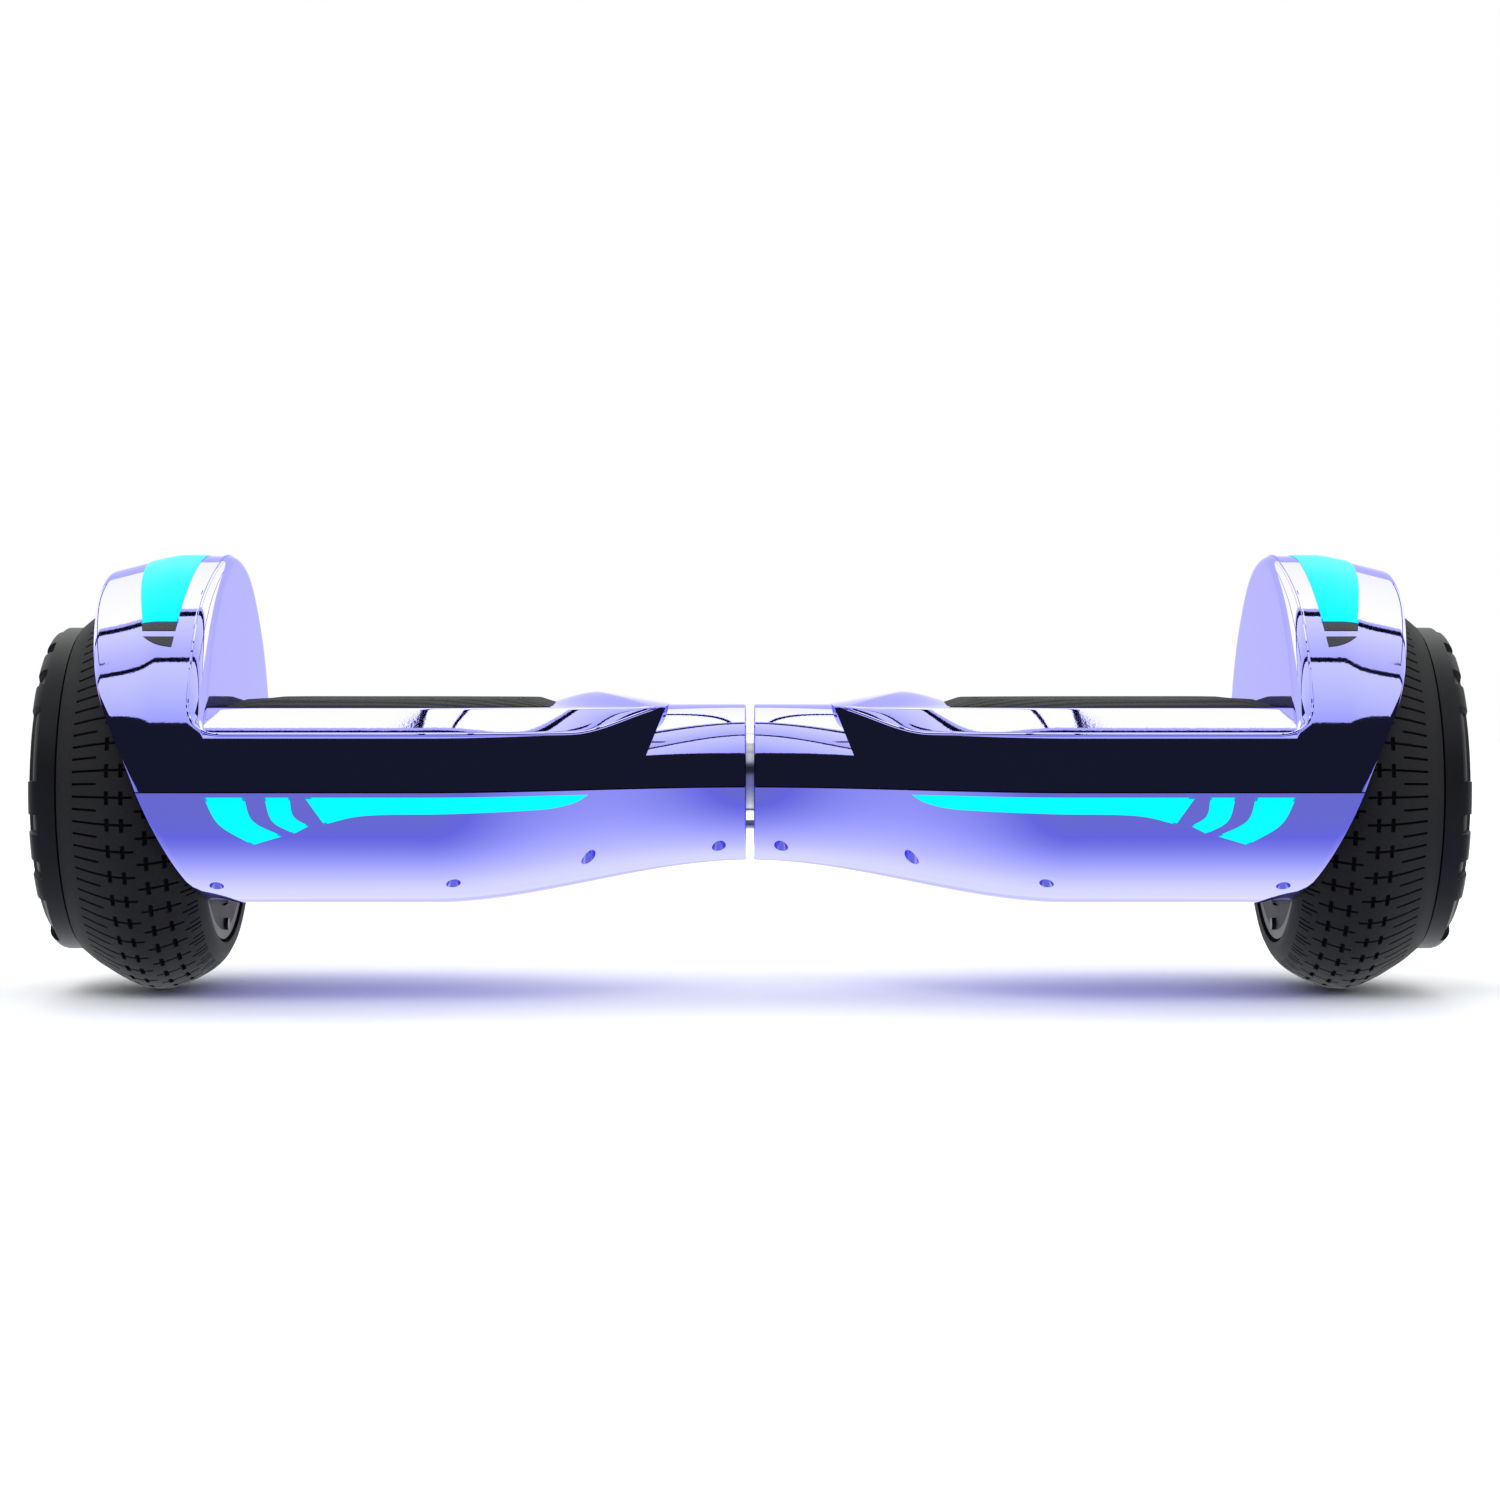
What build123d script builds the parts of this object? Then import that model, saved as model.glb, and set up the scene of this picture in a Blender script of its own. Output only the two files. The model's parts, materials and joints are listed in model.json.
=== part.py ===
from build123d import *

import os
from math import cos, pi, sin, sqrt

# A two-wheeled self balancing board: two half bodies that twist about a central pivot. Each half carries a
# hub motor wheel under a fender, a sprung rubber foot pad, lights, and its chassis, boards or battery.
#
# Frame: millimetres, +Z up, origin on the ground midway between the wheels. X runs along the wheel axles
# and -Y is the headlight side. Left is -X, as seen from the headlight side. What both halves share is made
# at +X and mirrored.

# --- body ----------------------------------------------------------------------------------------------
TYRE_RADIUS = 85.0
AXLE_Z = TYRE_RADIUS
SPLIT_Z = 87.0  # parting plane of the upper and lower shells
DECK_Z = 120.0
WALL = 2.5
FOOT_HALF_DEPTH = 92.0
WAIST_HALF_DEPTH = 34.0
WAIST_HEIGHT = 33.6
WAIST_DROP = 32.5  # hull below the parting plane, at the waist and under the foot
FOOT_DROP = 49.0
FLARE_LENGTH = 130.0  # where the widening from the waist ends
WAIST_END = 1.7  # half of the gap between the two halves
WALL_FOOT_SIDE = 216.5  # the wall between the foot section and the wheel
WALL_WHEEL_SIDE = WALL_FOOT_SIDE + WALL
FENDER_RISE = 96.3
FENDER_CROWN_X = 238.0
LIGHT_DEPTH = 1.4  # the fender light is an inlay, with the shell behind it
VENT_FACE = 0.6
VENT_FLOOR = 1.4
FENDER_EDGE = 275.0
FENDER_DOME = 0.26  # how fast the fender's outer edge rounds down
FENDER_DOME_START = 6.0
CREST_X = 64.0
CREST_Z = 126.0
CREST_END = 94.0  # where the rise to the crest starts from the flat deck
CREST_SLOPE = 0.174  # fall of the deck from the crest towards the waist
BEVEL_Z = 109.5  # lower edge of the bevel round the foot section
BEVEL_RISE = 11.5  # how much that edge climbs towards the waist
BEVEL_RISE_START = 73.0
BEVEL_RISE_LENGTH = 45.0
BEVEL_INSET = 16.0  # the bevel's width, seen from above
CREST_INSET = 2.5
INSET_START = 34.0
INSET_LENGTH = 66.0
HULL_END = 262.0
FAR = 400.0  # beyond every surface, for cutters

# --- foot pad ------------------------------------------------------------------------------------------
PAD_TOP = 123.3
PAD_UNDERSIDE = 119.2
POCKET_FLOOR = 117.4
DECK_UNDERSIDE = 114.4
PAD_INNER_X = 82.0
PAD_OUTER_X = 213.0
PAD_HALF_DEPTH = 73.0
PAD_FLAT_HALF_DEPTH = 52.0
PAD_GAP = 0.6
PAD_CORNERS = [  # from the outer end round the front to the middle, with y > 0
    (PAD_OUTER_X, 60.0),
    (PAD_OUTER_X - 9.0, PAD_HALF_DEPTH),
    (124.0, PAD_HALF_DEPTH),
    (PAD_INNER_X, 50.0),
]
PEG_PLACES = [(x, y) for x in (108.0, 188.0) for y in (-40.0, 40.0)]
PEG_RADIUS = 3.5
PEG_END_Z = 112.0

# --- pivot ---------------------------------------------------------------------------------------------
PIVOT_Z = 91.5
HUB_RADIUS = 26.0
HUB_START = 2.2
HUB_END = 46.0
SHAFT_RADIUS = 16.7
SHAFT_BORE = 10.0
BEARING_OUTER = 23.5
BEARING_BORE = SHAFT_RADIUS + 0.05
BEARING_WIDTH = 7.0
BEARING_STARTS = (5.0, 30.0)
STOP_CIRCLE = 22.0
STOP_RADIUS = 2.0
PIVOT_LIMIT = 12.0  # degrees each way

# --- wheel ---------------------------------------------------------------------------------------------
RIM_RADIUS = 64.0
RIM_BORE = 60.0
RIM_START = 223.0
RIM_END = 278.0
COVER_THICKNESS = 4.5
FLANGE_BORE = 55.5
HUB_SCREW_CIRCLE = 57.8
HUB_SCREW_COUNT = 6
HUB_SCREW_RADIUS = 1.5
HUB_SCREW_HEAD = 2.6
FLANGE_WIDTH = 5.0
MAGNET_COUNT = 30
TOOTH_COUNT = 27
STATOR_RADIUS = 55.3
STATOR_START = 238.0
STATOR_END = 260.0
MAGNET_BORE = 56.2
AXLE_RADIUS = 8.0
AXLE_HOLE = 9.5  # through the wall between the foot section and the wheel
AXLE_START = 160.0
AXLE_END = 274.0
AXLE_FLAT_HALF_WIDTH = 6.5
CAP_START = 280.0
CAP_END = 292.0  # half of the overall width
CAP_RADIUS = 68.0
CAP_NOTCHES = [(90.0, 27.0), (118.5, 7.0), (135.5, 7.0)]  # angle and width in degrees, in each fifth

# --- chassis -------------------------------------------------------------------------------------------
PLATE_START = 43.0
PLATE_BOTTOM = 96.0
PLATE_TOP = 101.0
CLAMP_START = 166.0
CLAMP_LENGTH = 38.0
BOLT_PLACES = [(x, y) for x in (173.0, 197.0) for y in (-18.0, 18.0)]
GYRO_BOARD_Z = 106.0
MAIN_BOARD_Z = 88.0
BOARD_THICKNESS = 1.6
SCREW_PLACES = [(x, y) for x, half in ((214.0, 74.0), (119.0, 74.0), (66.0, 52.0)) for y in (-half, half)]
WAIST_SCREW_PLACES = [(13.0, -23.0), (13.0, 23.0)]
SCREW_HEAD_Z = 72.0
WAIST_SCREW_HEAD_Z = 70.0
LUG_BOTTOM = 72.5
SCREW_RADIUS = 1.5
SCREW_HEAD_RADIUS = 2.5
SCREW_HEAD_HEIGHT = 3.0
SCREW_RECESS_RADIUS = 2.9
SCREW_HOLE_RADIUS = 1.8
SCREW_END_Z = 104.0
WAIST_SCREW_END_Z = 79.5
KEEL_Z = 30.0  # below every shell surface, where the screw recesses start
POST_TOP = 115.5
BOLT_RADIUS = 2.5
BOLT_HEAD_RADIUS = 4.25
BOLT_HEAD_Z = 69.0

# --- back of the right half ----------------------------------------------------------------------------
PORT_X, PORT_Z = 150.0, 72.0
BUTTON_X, BUTTON_Z = 186.0, 72.0
POCKET_RADIUS = 13.0
POCKET_Y = 83.5
BACKING_Y = 76.0
SOCKET_RADIUS = 8.0
SOCKET_BORE = 5.5
SOCKET_START_Y = 72.0
SOCKET_CHAMBER = 5.0  # the narrower part behind the bore, where the contacts stand
SOCKET_BORE_Y = 77.5
SOCKET_LIP = 1.2
CONTACT_RADIUS = 0.9
CONTACT_CIRCLE = 2.8
COVER_RADIUS = 9.8
COVER_Y = POCKET_Y + 1.5
COVER_HINGE_Z = PORT_Z + 10.5
BUTTON_BORE = 7.2

AXLE_SECTION = Plane(origin=(0, 0, AXLE_Z), x_dir=(1, 0, 0), z_dir=(0, -1, 0))
AXLE_AXIS = Axis((0, 0, AXLE_Z), (1, 0, 0))

# The three lens outlines on the lower shell's front, outermost first, as (x, z) corners.
LENS_OUTLINES = [
    [(216, 84.8), (200, 84.8), (186, 69), (197, 66)],
    [(192, 84.8), (182, 84.8), (175, 73), (181, 70.5)],
    [(175, 84.8), (66, 84.8), (69, 82.0), (77, 79.6), (146, 78), (169, 74)],
]
FENDER_LIGHT_OUTLINE = [
    (230.5, 156), (245.5, 156), (249, 170), (253, 184), (253, 200), (228, 200), (228, 180),
]
FENDER_VENT_OUTLINES = [
    [(231, 151), (244.6, 151), (245.3, 154.6), (230.6, 154.6)],
    [(231.3, 148.6), (243.8, 148.6), (240, 146.4), (236, 145), (231.8, 144.4)],
]
# The sweeping outer edge of the body, from the fender's top down to the keel.
BODY_EDGE = [
    (271, 200), (268, 183), (266.5, 160), (260.5, 127), (247, 95.6), (238.5, 75.8), (224, 47), (216, 34),
]

os.makedirs("parts", exist_ok=True)


def save(part, name):
    part.label = name
    export_step(part, f"parts/{name}.step")


def save_both(part, name):
    """Write a +X part as the right one and its mirror image as the left one."""
    save(part, f"right_{name}")
    with BuildPart() as mirrored:
        mirror(part, about=Plane.YZ)
    save(mirrored.part, f"left_{name}")


def smooth(t):
    """0 below 0, 1 above 1, and a smooth rise between."""
    t = min(1.0, max(0.0, t))
    return t * t * (3 - 2 * t)


def axle_plane(x):
    return Plane(origin=(x, 0, AXLE_Z), x_dir=(0, 1, 0), z_dir=(1, 0, 0))


def pivot_plane(x):
    return Plane(origin=(x, 0, PIVOT_Z), x_dir=(0, 1, 0), z_dir=(1, 0, 0))


def ring(plane, length, outer, inner=0.0):
    """A round bar or a tube that starts on the plane and runs along its normal."""
    with BuildPart() as bar:
        with BuildSketch(plane):
            Circle(outer)
            if inner:
                Circle(inner, mode=Mode.SUBTRACT)
        extrude(amount=length)
    return bar.part


def box(x, y, z):
    """A block between two values on each axis."""
    with BuildPart() as block:
        with BuildSketch(Plane.XY.offset(z[0])):
            with Locations(((x[0] + x[1]) / 2, (y[0] + y[1]) / 2)):
                Rectangle(x[1] - x[0], y[1] - y[0])
        extrude(amount=z[1] - z[0])
    return block.part


def posts(places, radius, low, high):
    """Upright round posts."""
    with BuildPart() as group:
        with BuildSketch(Plane.XY.offset(low)):
            with Locations(*places):
                Circle(radius)
        extrude(amount=high - low)
    return group.part


def sector(inner, outer, centre, width):
    """A flat piece of a ring, centred on an angle, in degrees."""
    with BuildSketch() as piece:
        with BuildLine():
            near = CenterArc((0, 0), inner, centre - width / 2, width)
            far = CenterArc((0, 0), outer, centre - width / 2, width)
            Line(near @ 0, far @ 0)
            Line(near @ 1, far @ 1)
        make_face()
    return piece.sketch


# --- body surfaces -------------------------------------------------------------------------------------
def half_depth(x):
    return WAIST_HALF_DEPTH + (FOOT_HALF_DEPTH - WAIST_HALF_DEPTH) * smooth(x / FLARE_LENGTH)


def hull_drop(x):
    return WAIST_DROP + (FOOT_DROP - WAIST_DROP) * smooth(x / FLARE_LENGTH)


def bevel_edge(x):
    """Height where the side wall meets the bevel."""
    return BEVEL_Z + BEVEL_RISE * smooth((BEVEL_RISE_START - x) / BEVEL_RISE_LENGTH)


def bevel_inset(x):
    return CREST_INSET + (BEVEL_INSET - CREST_INSET) * smooth((x - INSET_START) / INSET_LENGTH)


def deck_height(x):
    """The deck is flat under the pad, rises to a crest, then slopes down to the waist."""
    if x < CREST_X:
        return CREST_Z - (CREST_X - x) * CREST_SLOPE
    return DECK_Z + (CREST_Z - DECK_Z) * smooth((CREST_END - x) / (CREST_END - CREST_X))


def hull_section(x, inset):
    """Half a superellipse under the parting plane, round at the waist and fuller under the foot."""
    depth = half_depth(x) - inset
    drop = hull_drop(x) - inset
    power = 2 / (2 + smooth(x / FLARE_LENGTH))
    points = [(depth * cos(pi * k / 16) ** power, -drop * sin(pi * k / 16) ** power) for k in range(8)]
    points += [(0, -drop)] + [(-y, z) for y, z in reversed(points)]
    with BuildSketch(Plane.YZ.offset(x)) as section:
        with BuildLine():
            curve = Spline(*[(y, SPLIT_Z + z) for y, z in points], tangents=[(0, -1), (0, 1)])
            Line(curve @ 1, curve @ 0)
        make_face()
    return section.sketch


def wing_section(x, side, top):
    """Upright walls, bevels and a flat deck, drawn in from the outer surface by side and top."""
    edge = bevel_edge(x) - side * 0.6
    deck = deck_height(x) - top
    wall_top = half_depth(x) * sqrt(1 - ((edge - SPLIT_Z) / FENDER_RISE) ** 2) - side
    deck_half = half_depth(x) - bevel_inset(x) - side * 0.5
    foot_half = half_depth(x) - side
    with BuildSketch(Plane.YZ.offset(x)) as section:
        with BuildLine():
            Polyline((-foot_half, SPLIT_Z), (-wall_top, edge), (-deck_half, deck), (deck_half, deck),
                     (wall_top, edge), (foot_half, SPLIT_Z), close=True)
        make_face()
    return section.sketch


def hull(first, last, inset):
    """The body below the parting plane."""
    with BuildPart() as solid:
        if first < FLARE_LENGTH:
            stations = [first] + [x for x in range(20, 121, 20) if x > first] + [FLARE_LENGTH]
            loft(sections=[hull_section(x, inset) for x in stations])
        extrude(hull_section(max(first, FLARE_LENGTH), inset), amount=last - max(first, FLARE_LENGTH))
    return solid.part


def wing(first, last, side, top):
    """The foot section above the parting plane, creased at the crest."""
    with BuildPart() as solid:
        slope = [first] + [x for x in (42, 50, 57) if x > first + 2] + [CREST_X]
        loft(sections=[wing_section(x, side, top) for x in slope])
        loft(sections=[wing_section(x, side, top) for x in (CREST_X, 71, 79, 87, 95, 106, 118, 130)])
        extrude(wing_section(FLARE_LENGTH, side, top), amount=last - FLARE_LENGTH)
    return solid.part


def half_ellipse(x, half_width, height):
    """The upper half of an ellipse that stands on the parting plane."""
    with BuildSketch(Plane.YZ.offset(x)) as section:
        with Locations((0, SPLIT_Z)):
            Ellipse(half_width, height)
        with Locations((0, 0)):
            Rectangle(FAR, 2 * SPLIT_Z, mode=Mode.SUBTRACT)
    return section.sketch


def waist(first, last, inset):
    """The round upper half of the waist, which runs on under the foot section."""
    stations = (first, 20, 35, 50, last)
    with BuildPart() as solid:
        loft(sections=[half_ellipse(x, half_depth(x) - inset, WAIST_HEIGHT - inset) for x in stations])
    return solid.part


def fender(first, inset):
    """The arch over the wheel, domed towards its outer edge."""
    with BuildPart() as solid:
        arch = half_ellipse(first, FOOT_HALF_DEPTH - inset, FENDER_RISE - inset)
        extrude(arch, amount=FENDER_CROWN_X - first)
        sections = []
        for x in (FENDER_CROWN_X, 246, 256, 266, FENDER_EDGE):
            beyond = x - FENDER_CROWN_X
            drop = inset + FENDER_DOME * beyond ** 2 / (beyond + FENDER_DOME_START)
            sections.append(half_ellipse(x, FOOT_HALF_DEPTH - drop, FENDER_RISE - drop))
        loft(sections=sections)
    return solid.part


def outline_prism(outlines, both):
    """Flat outlines in XZ, driven forward from the middle, or both ways."""
    with BuildPart() as prism:
        with BuildSketch(Plane.XZ):
            for corners in outlines:
                with BuildLine():
                    Polyline(*corners, close=True)
                make_face()
        extrude(amount=150, both=both)
    return prism.part


with BuildPart() as beyond_edge:
    with BuildSketch(Plane.XZ):
        with BuildLine():
            sweep_edge = Spline(*BODY_EDGE)
            Polyline(sweep_edge @ 1, (BODY_EDGE[-1][0], -50), (FAR, -50), (FAR, BODY_EDGE[0][1]),
                     sweep_edge @ 0)
        make_face()
    extrude(amount=150, both=True)

with BuildPart() as inboard_slope:  # what the slanted inner end of the foot section leaves bare
    with BuildSketch(Plane.XZ):
        with BuildLine():
            Polyline((2.6, 200), (47.8, SPLIT_Z), (47.8, 40), (-50, 40), (-50, 200), close=True)
        make_face()
    extrude(amount=150, both=True)

with BuildPart() as pad_outline:
    with BuildSketch():
        with BuildLine():
            Polyline(*PAD_CORNERS, *[(x, -y) for x, y in reversed(PAD_CORNERS)], close=True)
        make_face()
    extrude(amount=PAD_TOP)

hull_outer = hull(WAIST_END, HULL_END, 0)
hull_foot = hull(WAIST_END + WALL, WALL_FOOT_SIDE, WALL)
hull_wheel = hull(WALL_WHEEL_SIDE, FAR, WALL)
fender_outer = fender(WALL_FOOT_SIDE, 0)
fender_inner = fender(WALL_WHEEL_SIDE, WALL)


with BuildPart() as headlight_blank:
    add(hull_outer)
    add(hull_foot, mode=Mode.SUBTRACT)
    add(outline_prism(LENS_OUTLINES, both=False), mode=Mode.INTERSECT)

with BuildPart() as headlight_lens:
    add(headlight_blank.solids().sort_by(SortBy.VOLUME)[-len(LENS_OUTLINES):])

fender_light_prism = outline_prism([FENDER_LIGHT_OUTLINE], both=True)
fender_vent_prism = outline_prism(FENDER_VENT_OUTLINES, both=True)

# --- upper shells --------------------------------------------------------------------------------------
with BuildPart() as wing_outer:
    add(wing(36, WALL_WHEEL_SIDE, 0, 0))
    add(inboard_slope.part, mode=Mode.SUBTRACT)

with BuildPart() as upper_outer:
    add(wing_outer.part)
    add(waist(WAIST_END, CREST_X, 0))
    add(fender_outer)

with BuildPart() as fender_light_lens:
    add(fender_outer)
    add(fender(WALL_FOOT_SIDE, LIGHT_DEPTH), mode=Mode.SUBTRACT)
    add(fender_light_prism, mode=Mode.INTERSECT)

with BuildPart() as fender_vent_recess:
    add(fender_outer)
    add(fender(WALL_FOOT_SIDE, VENT_FLOOR), mode=Mode.SUBTRACT)
    add(fender_vent_prism, mode=Mode.INTERSECT)

with BuildPart() as fender_vents:
    add(fender(WALL_FOOT_SIDE, VENT_FACE))
    add(fender(WALL_FOOT_SIDE, VENT_FLOOR), mode=Mode.SUBTRACT)
    add(fender_vent_prism, mode=Mode.INTERSECT)

with BuildPart() as upper_posts:
    add(posts(SCREW_PLACES, 4.5, SPLIT_Z + 0.2, POST_TOP))
    add(upper_outer.part, mode=Mode.INTERSECT)

with BuildPart() as upper_shell:
    add(upper_outer.part)
    add(wing(53, WALL_FOOT_SIDE, WALL, DECK_Z - DECK_UNDERSIDE), mode=Mode.SUBTRACT)
    add(waist(WAIST_END + WALL, CREST_X, WALL), mode=Mode.SUBTRACT)
    add(fender_inner, mode=Mode.SUBTRACT)
    add(beyond_edge.part, mode=Mode.SUBTRACT)
    add(upper_posts.part)
    add(posts(SCREW_PLACES, SCREW_RADIUS + 0.05, SPLIT_Z, 112), mode=Mode.SUBTRACT)
    add(ring(pivot_plane(0), WAIST_END + WALL + 1, HUB_RADIUS + 0.5), mode=Mode.SUBTRACT)
    add(fender_light_lens.part, mode=Mode.SUBTRACT)
    add(fender_vent_recess.part, mode=Mode.SUBTRACT)
    add(ring(axle_plane(WALL_FOOT_SIDE - 1), WALL + 2, AXLE_HOLE), mode=Mode.SUBTRACT)
    with BuildSketch(Plane.XY.offset(POCKET_FLOOR)):
        add(offset(pad_outline.faces().sort_by(Axis.Z)[0], amount=PAD_GAP).faces())
    extrude(amount=20, mode=Mode.SUBTRACT)
    add(posts(PEG_PLACES, PEG_RADIUS + 0.6, 110, 118), mode=Mode.SUBTRACT)
save_both(upper_shell.part, "upper_shell")

# --- lower shells --------------------------------------------------------------------------------------
with BuildPart() as lower_posts:
    add(posts(SCREW_PLACES, 5.0, KEEL_Z, SPLIT_Z))
    add(posts(WAIST_SCREW_PLACES, 5.0, KEEL_Z, LUG_BOTTOM))
    add(box((151, 153), (-92, -80), (50, 72)))
    add(box((186, 188), (-92, -80), (50, 66)))
    add(hull_outer, mode=Mode.INTERSECT)

with BuildPart() as left_lower_shell_at_right:
    add(hull_outer)
    add(hull_foot, mode=Mode.SUBTRACT)
    add(hull_wheel, mode=Mode.SUBTRACT)
    add(beyond_edge.part, mode=Mode.SUBTRACT)
    add(lower_posts.part)
    add(posts(SCREW_PLACES, SCREW_RECESS_RADIUS, KEEL_Z, SCREW_HEAD_Z), mode=Mode.SUBTRACT)
    add(posts(WAIST_SCREW_PLACES, SCREW_RECESS_RADIUS, KEEL_Z, WAIST_SCREW_HEAD_Z), mode=Mode.SUBTRACT)
    add(posts(SCREW_PLACES + WAIST_SCREW_PLACES, SCREW_HOLE_RADIUS, KEEL_Z, SPLIT_Z), mode=Mode.SUBTRACT)
    add(ring(pivot_plane(0), WAIST_END + WALL + 1, HUB_RADIUS + 0.5), mode=Mode.SUBTRACT)
    add(headlight_blank.part, mode=Mode.SUBTRACT)
    add(ring(axle_plane(WALL_FOOT_SIDE - 1), WALL + 2, AXLE_HOLE), mode=Mode.SUBTRACT)
    add(ring(axle_plane(WALL_WHEEL_SIDE + 1), 30, TYRE_RADIUS - 6), mode=Mode.SUBTRACT)
with BuildPart() as left_lower_shell:
    mirror(left_lower_shell_at_right.part, about=Plane.YZ)
save(left_lower_shell.part, "left_lower_shell")


def backward_plane(x, z, y):
    """A plane that faces backward (+Y)."""
    return Plane(origin=(x, y, z), x_dir=(-1, 0, 0), z_dir=(0, 1, 0))


with BuildPart() as port_backing:
    add(ring(backward_plane(PORT_X, PORT_Z, BACKING_Y), 30, POCKET_RADIUS + 3))
    add(ring(backward_plane(BUTTON_X, BUTTON_Z, BACKING_Y), 30, POCKET_RADIUS))
    add(hull_outer, mode=Mode.INTERSECT)

with BuildPart() as right_lower_shell:
    add(left_lower_shell_at_right.part)
    add(port_backing.part)
    add(ring(backward_plane(PORT_X, PORT_Z, POCKET_Y), 30, POCKET_RADIUS), mode=Mode.SUBTRACT)
    add(ring(backward_plane(PORT_X, PORT_Z, 70), 30, SOCKET_RADIUS), mode=Mode.SUBTRACT)
    add(box((PORT_X - 10.5, PORT_X + 10.5), (POCKET_Y, 100), (78, 84.5)), mode=Mode.SUBTRACT)
    add(ring(backward_plane(BUTTON_X, BUTTON_Z, POCKET_Y), 30, 10.0), mode=Mode.SUBTRACT)
    add(ring(backward_plane(BUTTON_X, BUTTON_Z, 70), 30, BUTTON_BORE), mode=Mode.SUBTRACT)
save(right_lower_shell.part, "right_lower_shell")

# --- lights --------------------------------------------------------------------------------------------
save_both(headlight_lens.part, "headlight_lens")

with BuildPart() as headlight_board:
    add(box((134, 206), (-85.2, -83.6), (72, 84)))
    with BuildSketch(Plane.XZ.offset(85.2)):
        with GridLocations(12, 1, 6, 1):
            with Locations((170, 79)):
                Rectangle(5, 5)
    extrude(amount=1.4)
save_both(headlight_board.part, "headlight_board")

save_both(fender_light_lens.part, "fender_light_lens")
save_both(fender_vents.part, "fender_vents")

# --- foot pads -----------------------------------------------------------------------------------------
with BuildPart() as footpad:
    with BuildSketch(Plane.XY.offset(PAD_UNDERSIDE)):
        add(pad_outline.faces().sort_by(Axis.Z)[0])
    extrude(amount=PAD_TOP - PAD_UNDERSIDE)
    for edge in (-1, 1):  # the long margins slope down to just above the deck
        with BuildSketch(Plane.YZ.offset(PAD_INNER_X - 1)):
            with BuildLine():
                Polyline((edge * PAD_FLAT_HALF_DEPTH, PAD_TOP), (edge * 75, 120.3), (edge * 75, 125),
                         (edge * PAD_FLAT_HALF_DEPTH, 125), close=True)
            make_face()
        extrude(amount=150, mode=Mode.SUBTRACT)
    add(posts(PEG_PLACES, PEG_RADIUS, PEG_END_Z, PAD_UNDERSIDE))
save_both(footpad.part, "footpad")

# --- chassis -------------------------------------------------------------------------------------------
with BuildPart() as axle_key:
    with BuildSketch(axle_plane(CLAMP_START - 1)):
        Circle(AXLE_RADIUS)
        Rectangle(2 * AXLE_FLAT_HALF_WIDTH, 40, mode=Mode.INTERSECT)
    extrude(amount=CLAMP_LENGTH + 2)

with BuildPart() as chassis:
    add(ring(pivot_plane(HUB_START), HUB_END - HUB_START, HUB_RADIUS))
    add(box((PLATE_START, 212), (-38, 38), (PLATE_BOTTOM, PLATE_TOP)))
    add(box((8, 18), (-28, 28), (LUG_BOTTOM, 88)))
    for side in (-1, 1):
        add(box((PLATE_START, 164), (side * 36 - 2, side * 36 + 2), (88.5, PLATE_BOTTOM)))
    add(box((CLAMP_START, CLAMP_START + CLAMP_LENGTH), (-27, 27), (AXLE_Z, PLATE_BOTTOM)))
    add(posts([(100, -30), (100, 30), (196, -30), (196, 30)], 4.0, PLATE_TOP, GYRO_BOARD_Z))
    add(ring(pivot_plane(0), HUB_END + 20, SHAFT_RADIUS), mode=Mode.SUBTRACT)
    add(axle_key.part, mode=Mode.SUBTRACT)
    add(posts(WAIST_SCREW_PLACES, SCREW_RADIUS + 0.05, 70, 80), mode=Mode.SUBTRACT)
    add(posts(BOLT_PLACES, BOLT_RADIUS, AXLE_Z, PLATE_TOP + 1), mode=Mode.SUBTRACT)

with BuildPart() as left_chassis_at_right:
    add(chassis.part)
    board_posts = [(64, -28), (64, 28), (140, -28), (140, 28)]
    add(posts(board_posts, 4.0, MAIN_BOARD_Z + BOARD_THICKNESS, PLATE_BOTTOM))
    with BuildSketch(pivot_plane(0)):
        with Locations((0, -STOP_CIRCLE)):
            Circle(STOP_RADIUS)
    extrude(amount=20, mode=Mode.SUBTRACT)
with BuildPart() as left_chassis:
    mirror(left_chassis_at_right.part, about=Plane.YZ)
save(left_chassis.part, "left_chassis")

with BuildPart() as right_chassis:
    add(chassis.part)
    add(ring(pivot_plane(BEARING_STARTS[0]), BEARING_WIDTH, BEARING_OUTER), mode=Mode.SUBTRACT)
    add(ring(pivot_plane(BEARING_STARTS[0]), 30, 21.0), mode=Mode.SUBTRACT)
    add(ring(pivot_plane(BEARING_STARTS[1]), 30, BEARING_OUTER), mode=Mode.SUBTRACT)
    add(ring(pivot_plane(0), 10, SHAFT_RADIUS + 0.6), mode=Mode.SUBTRACT)
    with BuildSketch(pivot_plane(0)):
        add(sector(STOP_CIRCLE - 2.4, STOP_CIRCLE + 2.4, -90, 2 * PIVOT_LIMIT))
        with PolarLocations(STOP_CIRCLE, 2, start_angle=-90 - PIVOT_LIMIT, angular_range=4 * PIVOT_LIMIT):
            Circle(2.4)
    extrude(amount=BEARING_STARTS[0] + 1, mode=Mode.SUBTRACT)
save(right_chassis.part, "right_chassis")

with BuildPart() as axle_clamp:
    add(box((CLAMP_START, CLAMP_START + CLAMP_LENGTH), (-27, 27), (74, AXLE_Z)))
    add(axle_key.part, mode=Mode.SUBTRACT)
    add(posts(BOLT_PLACES, BOLT_RADIUS, 70, AXLE_Z), mode=Mode.SUBTRACT)
save_both(axle_clamp.part, "axle_clamp")

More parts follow.
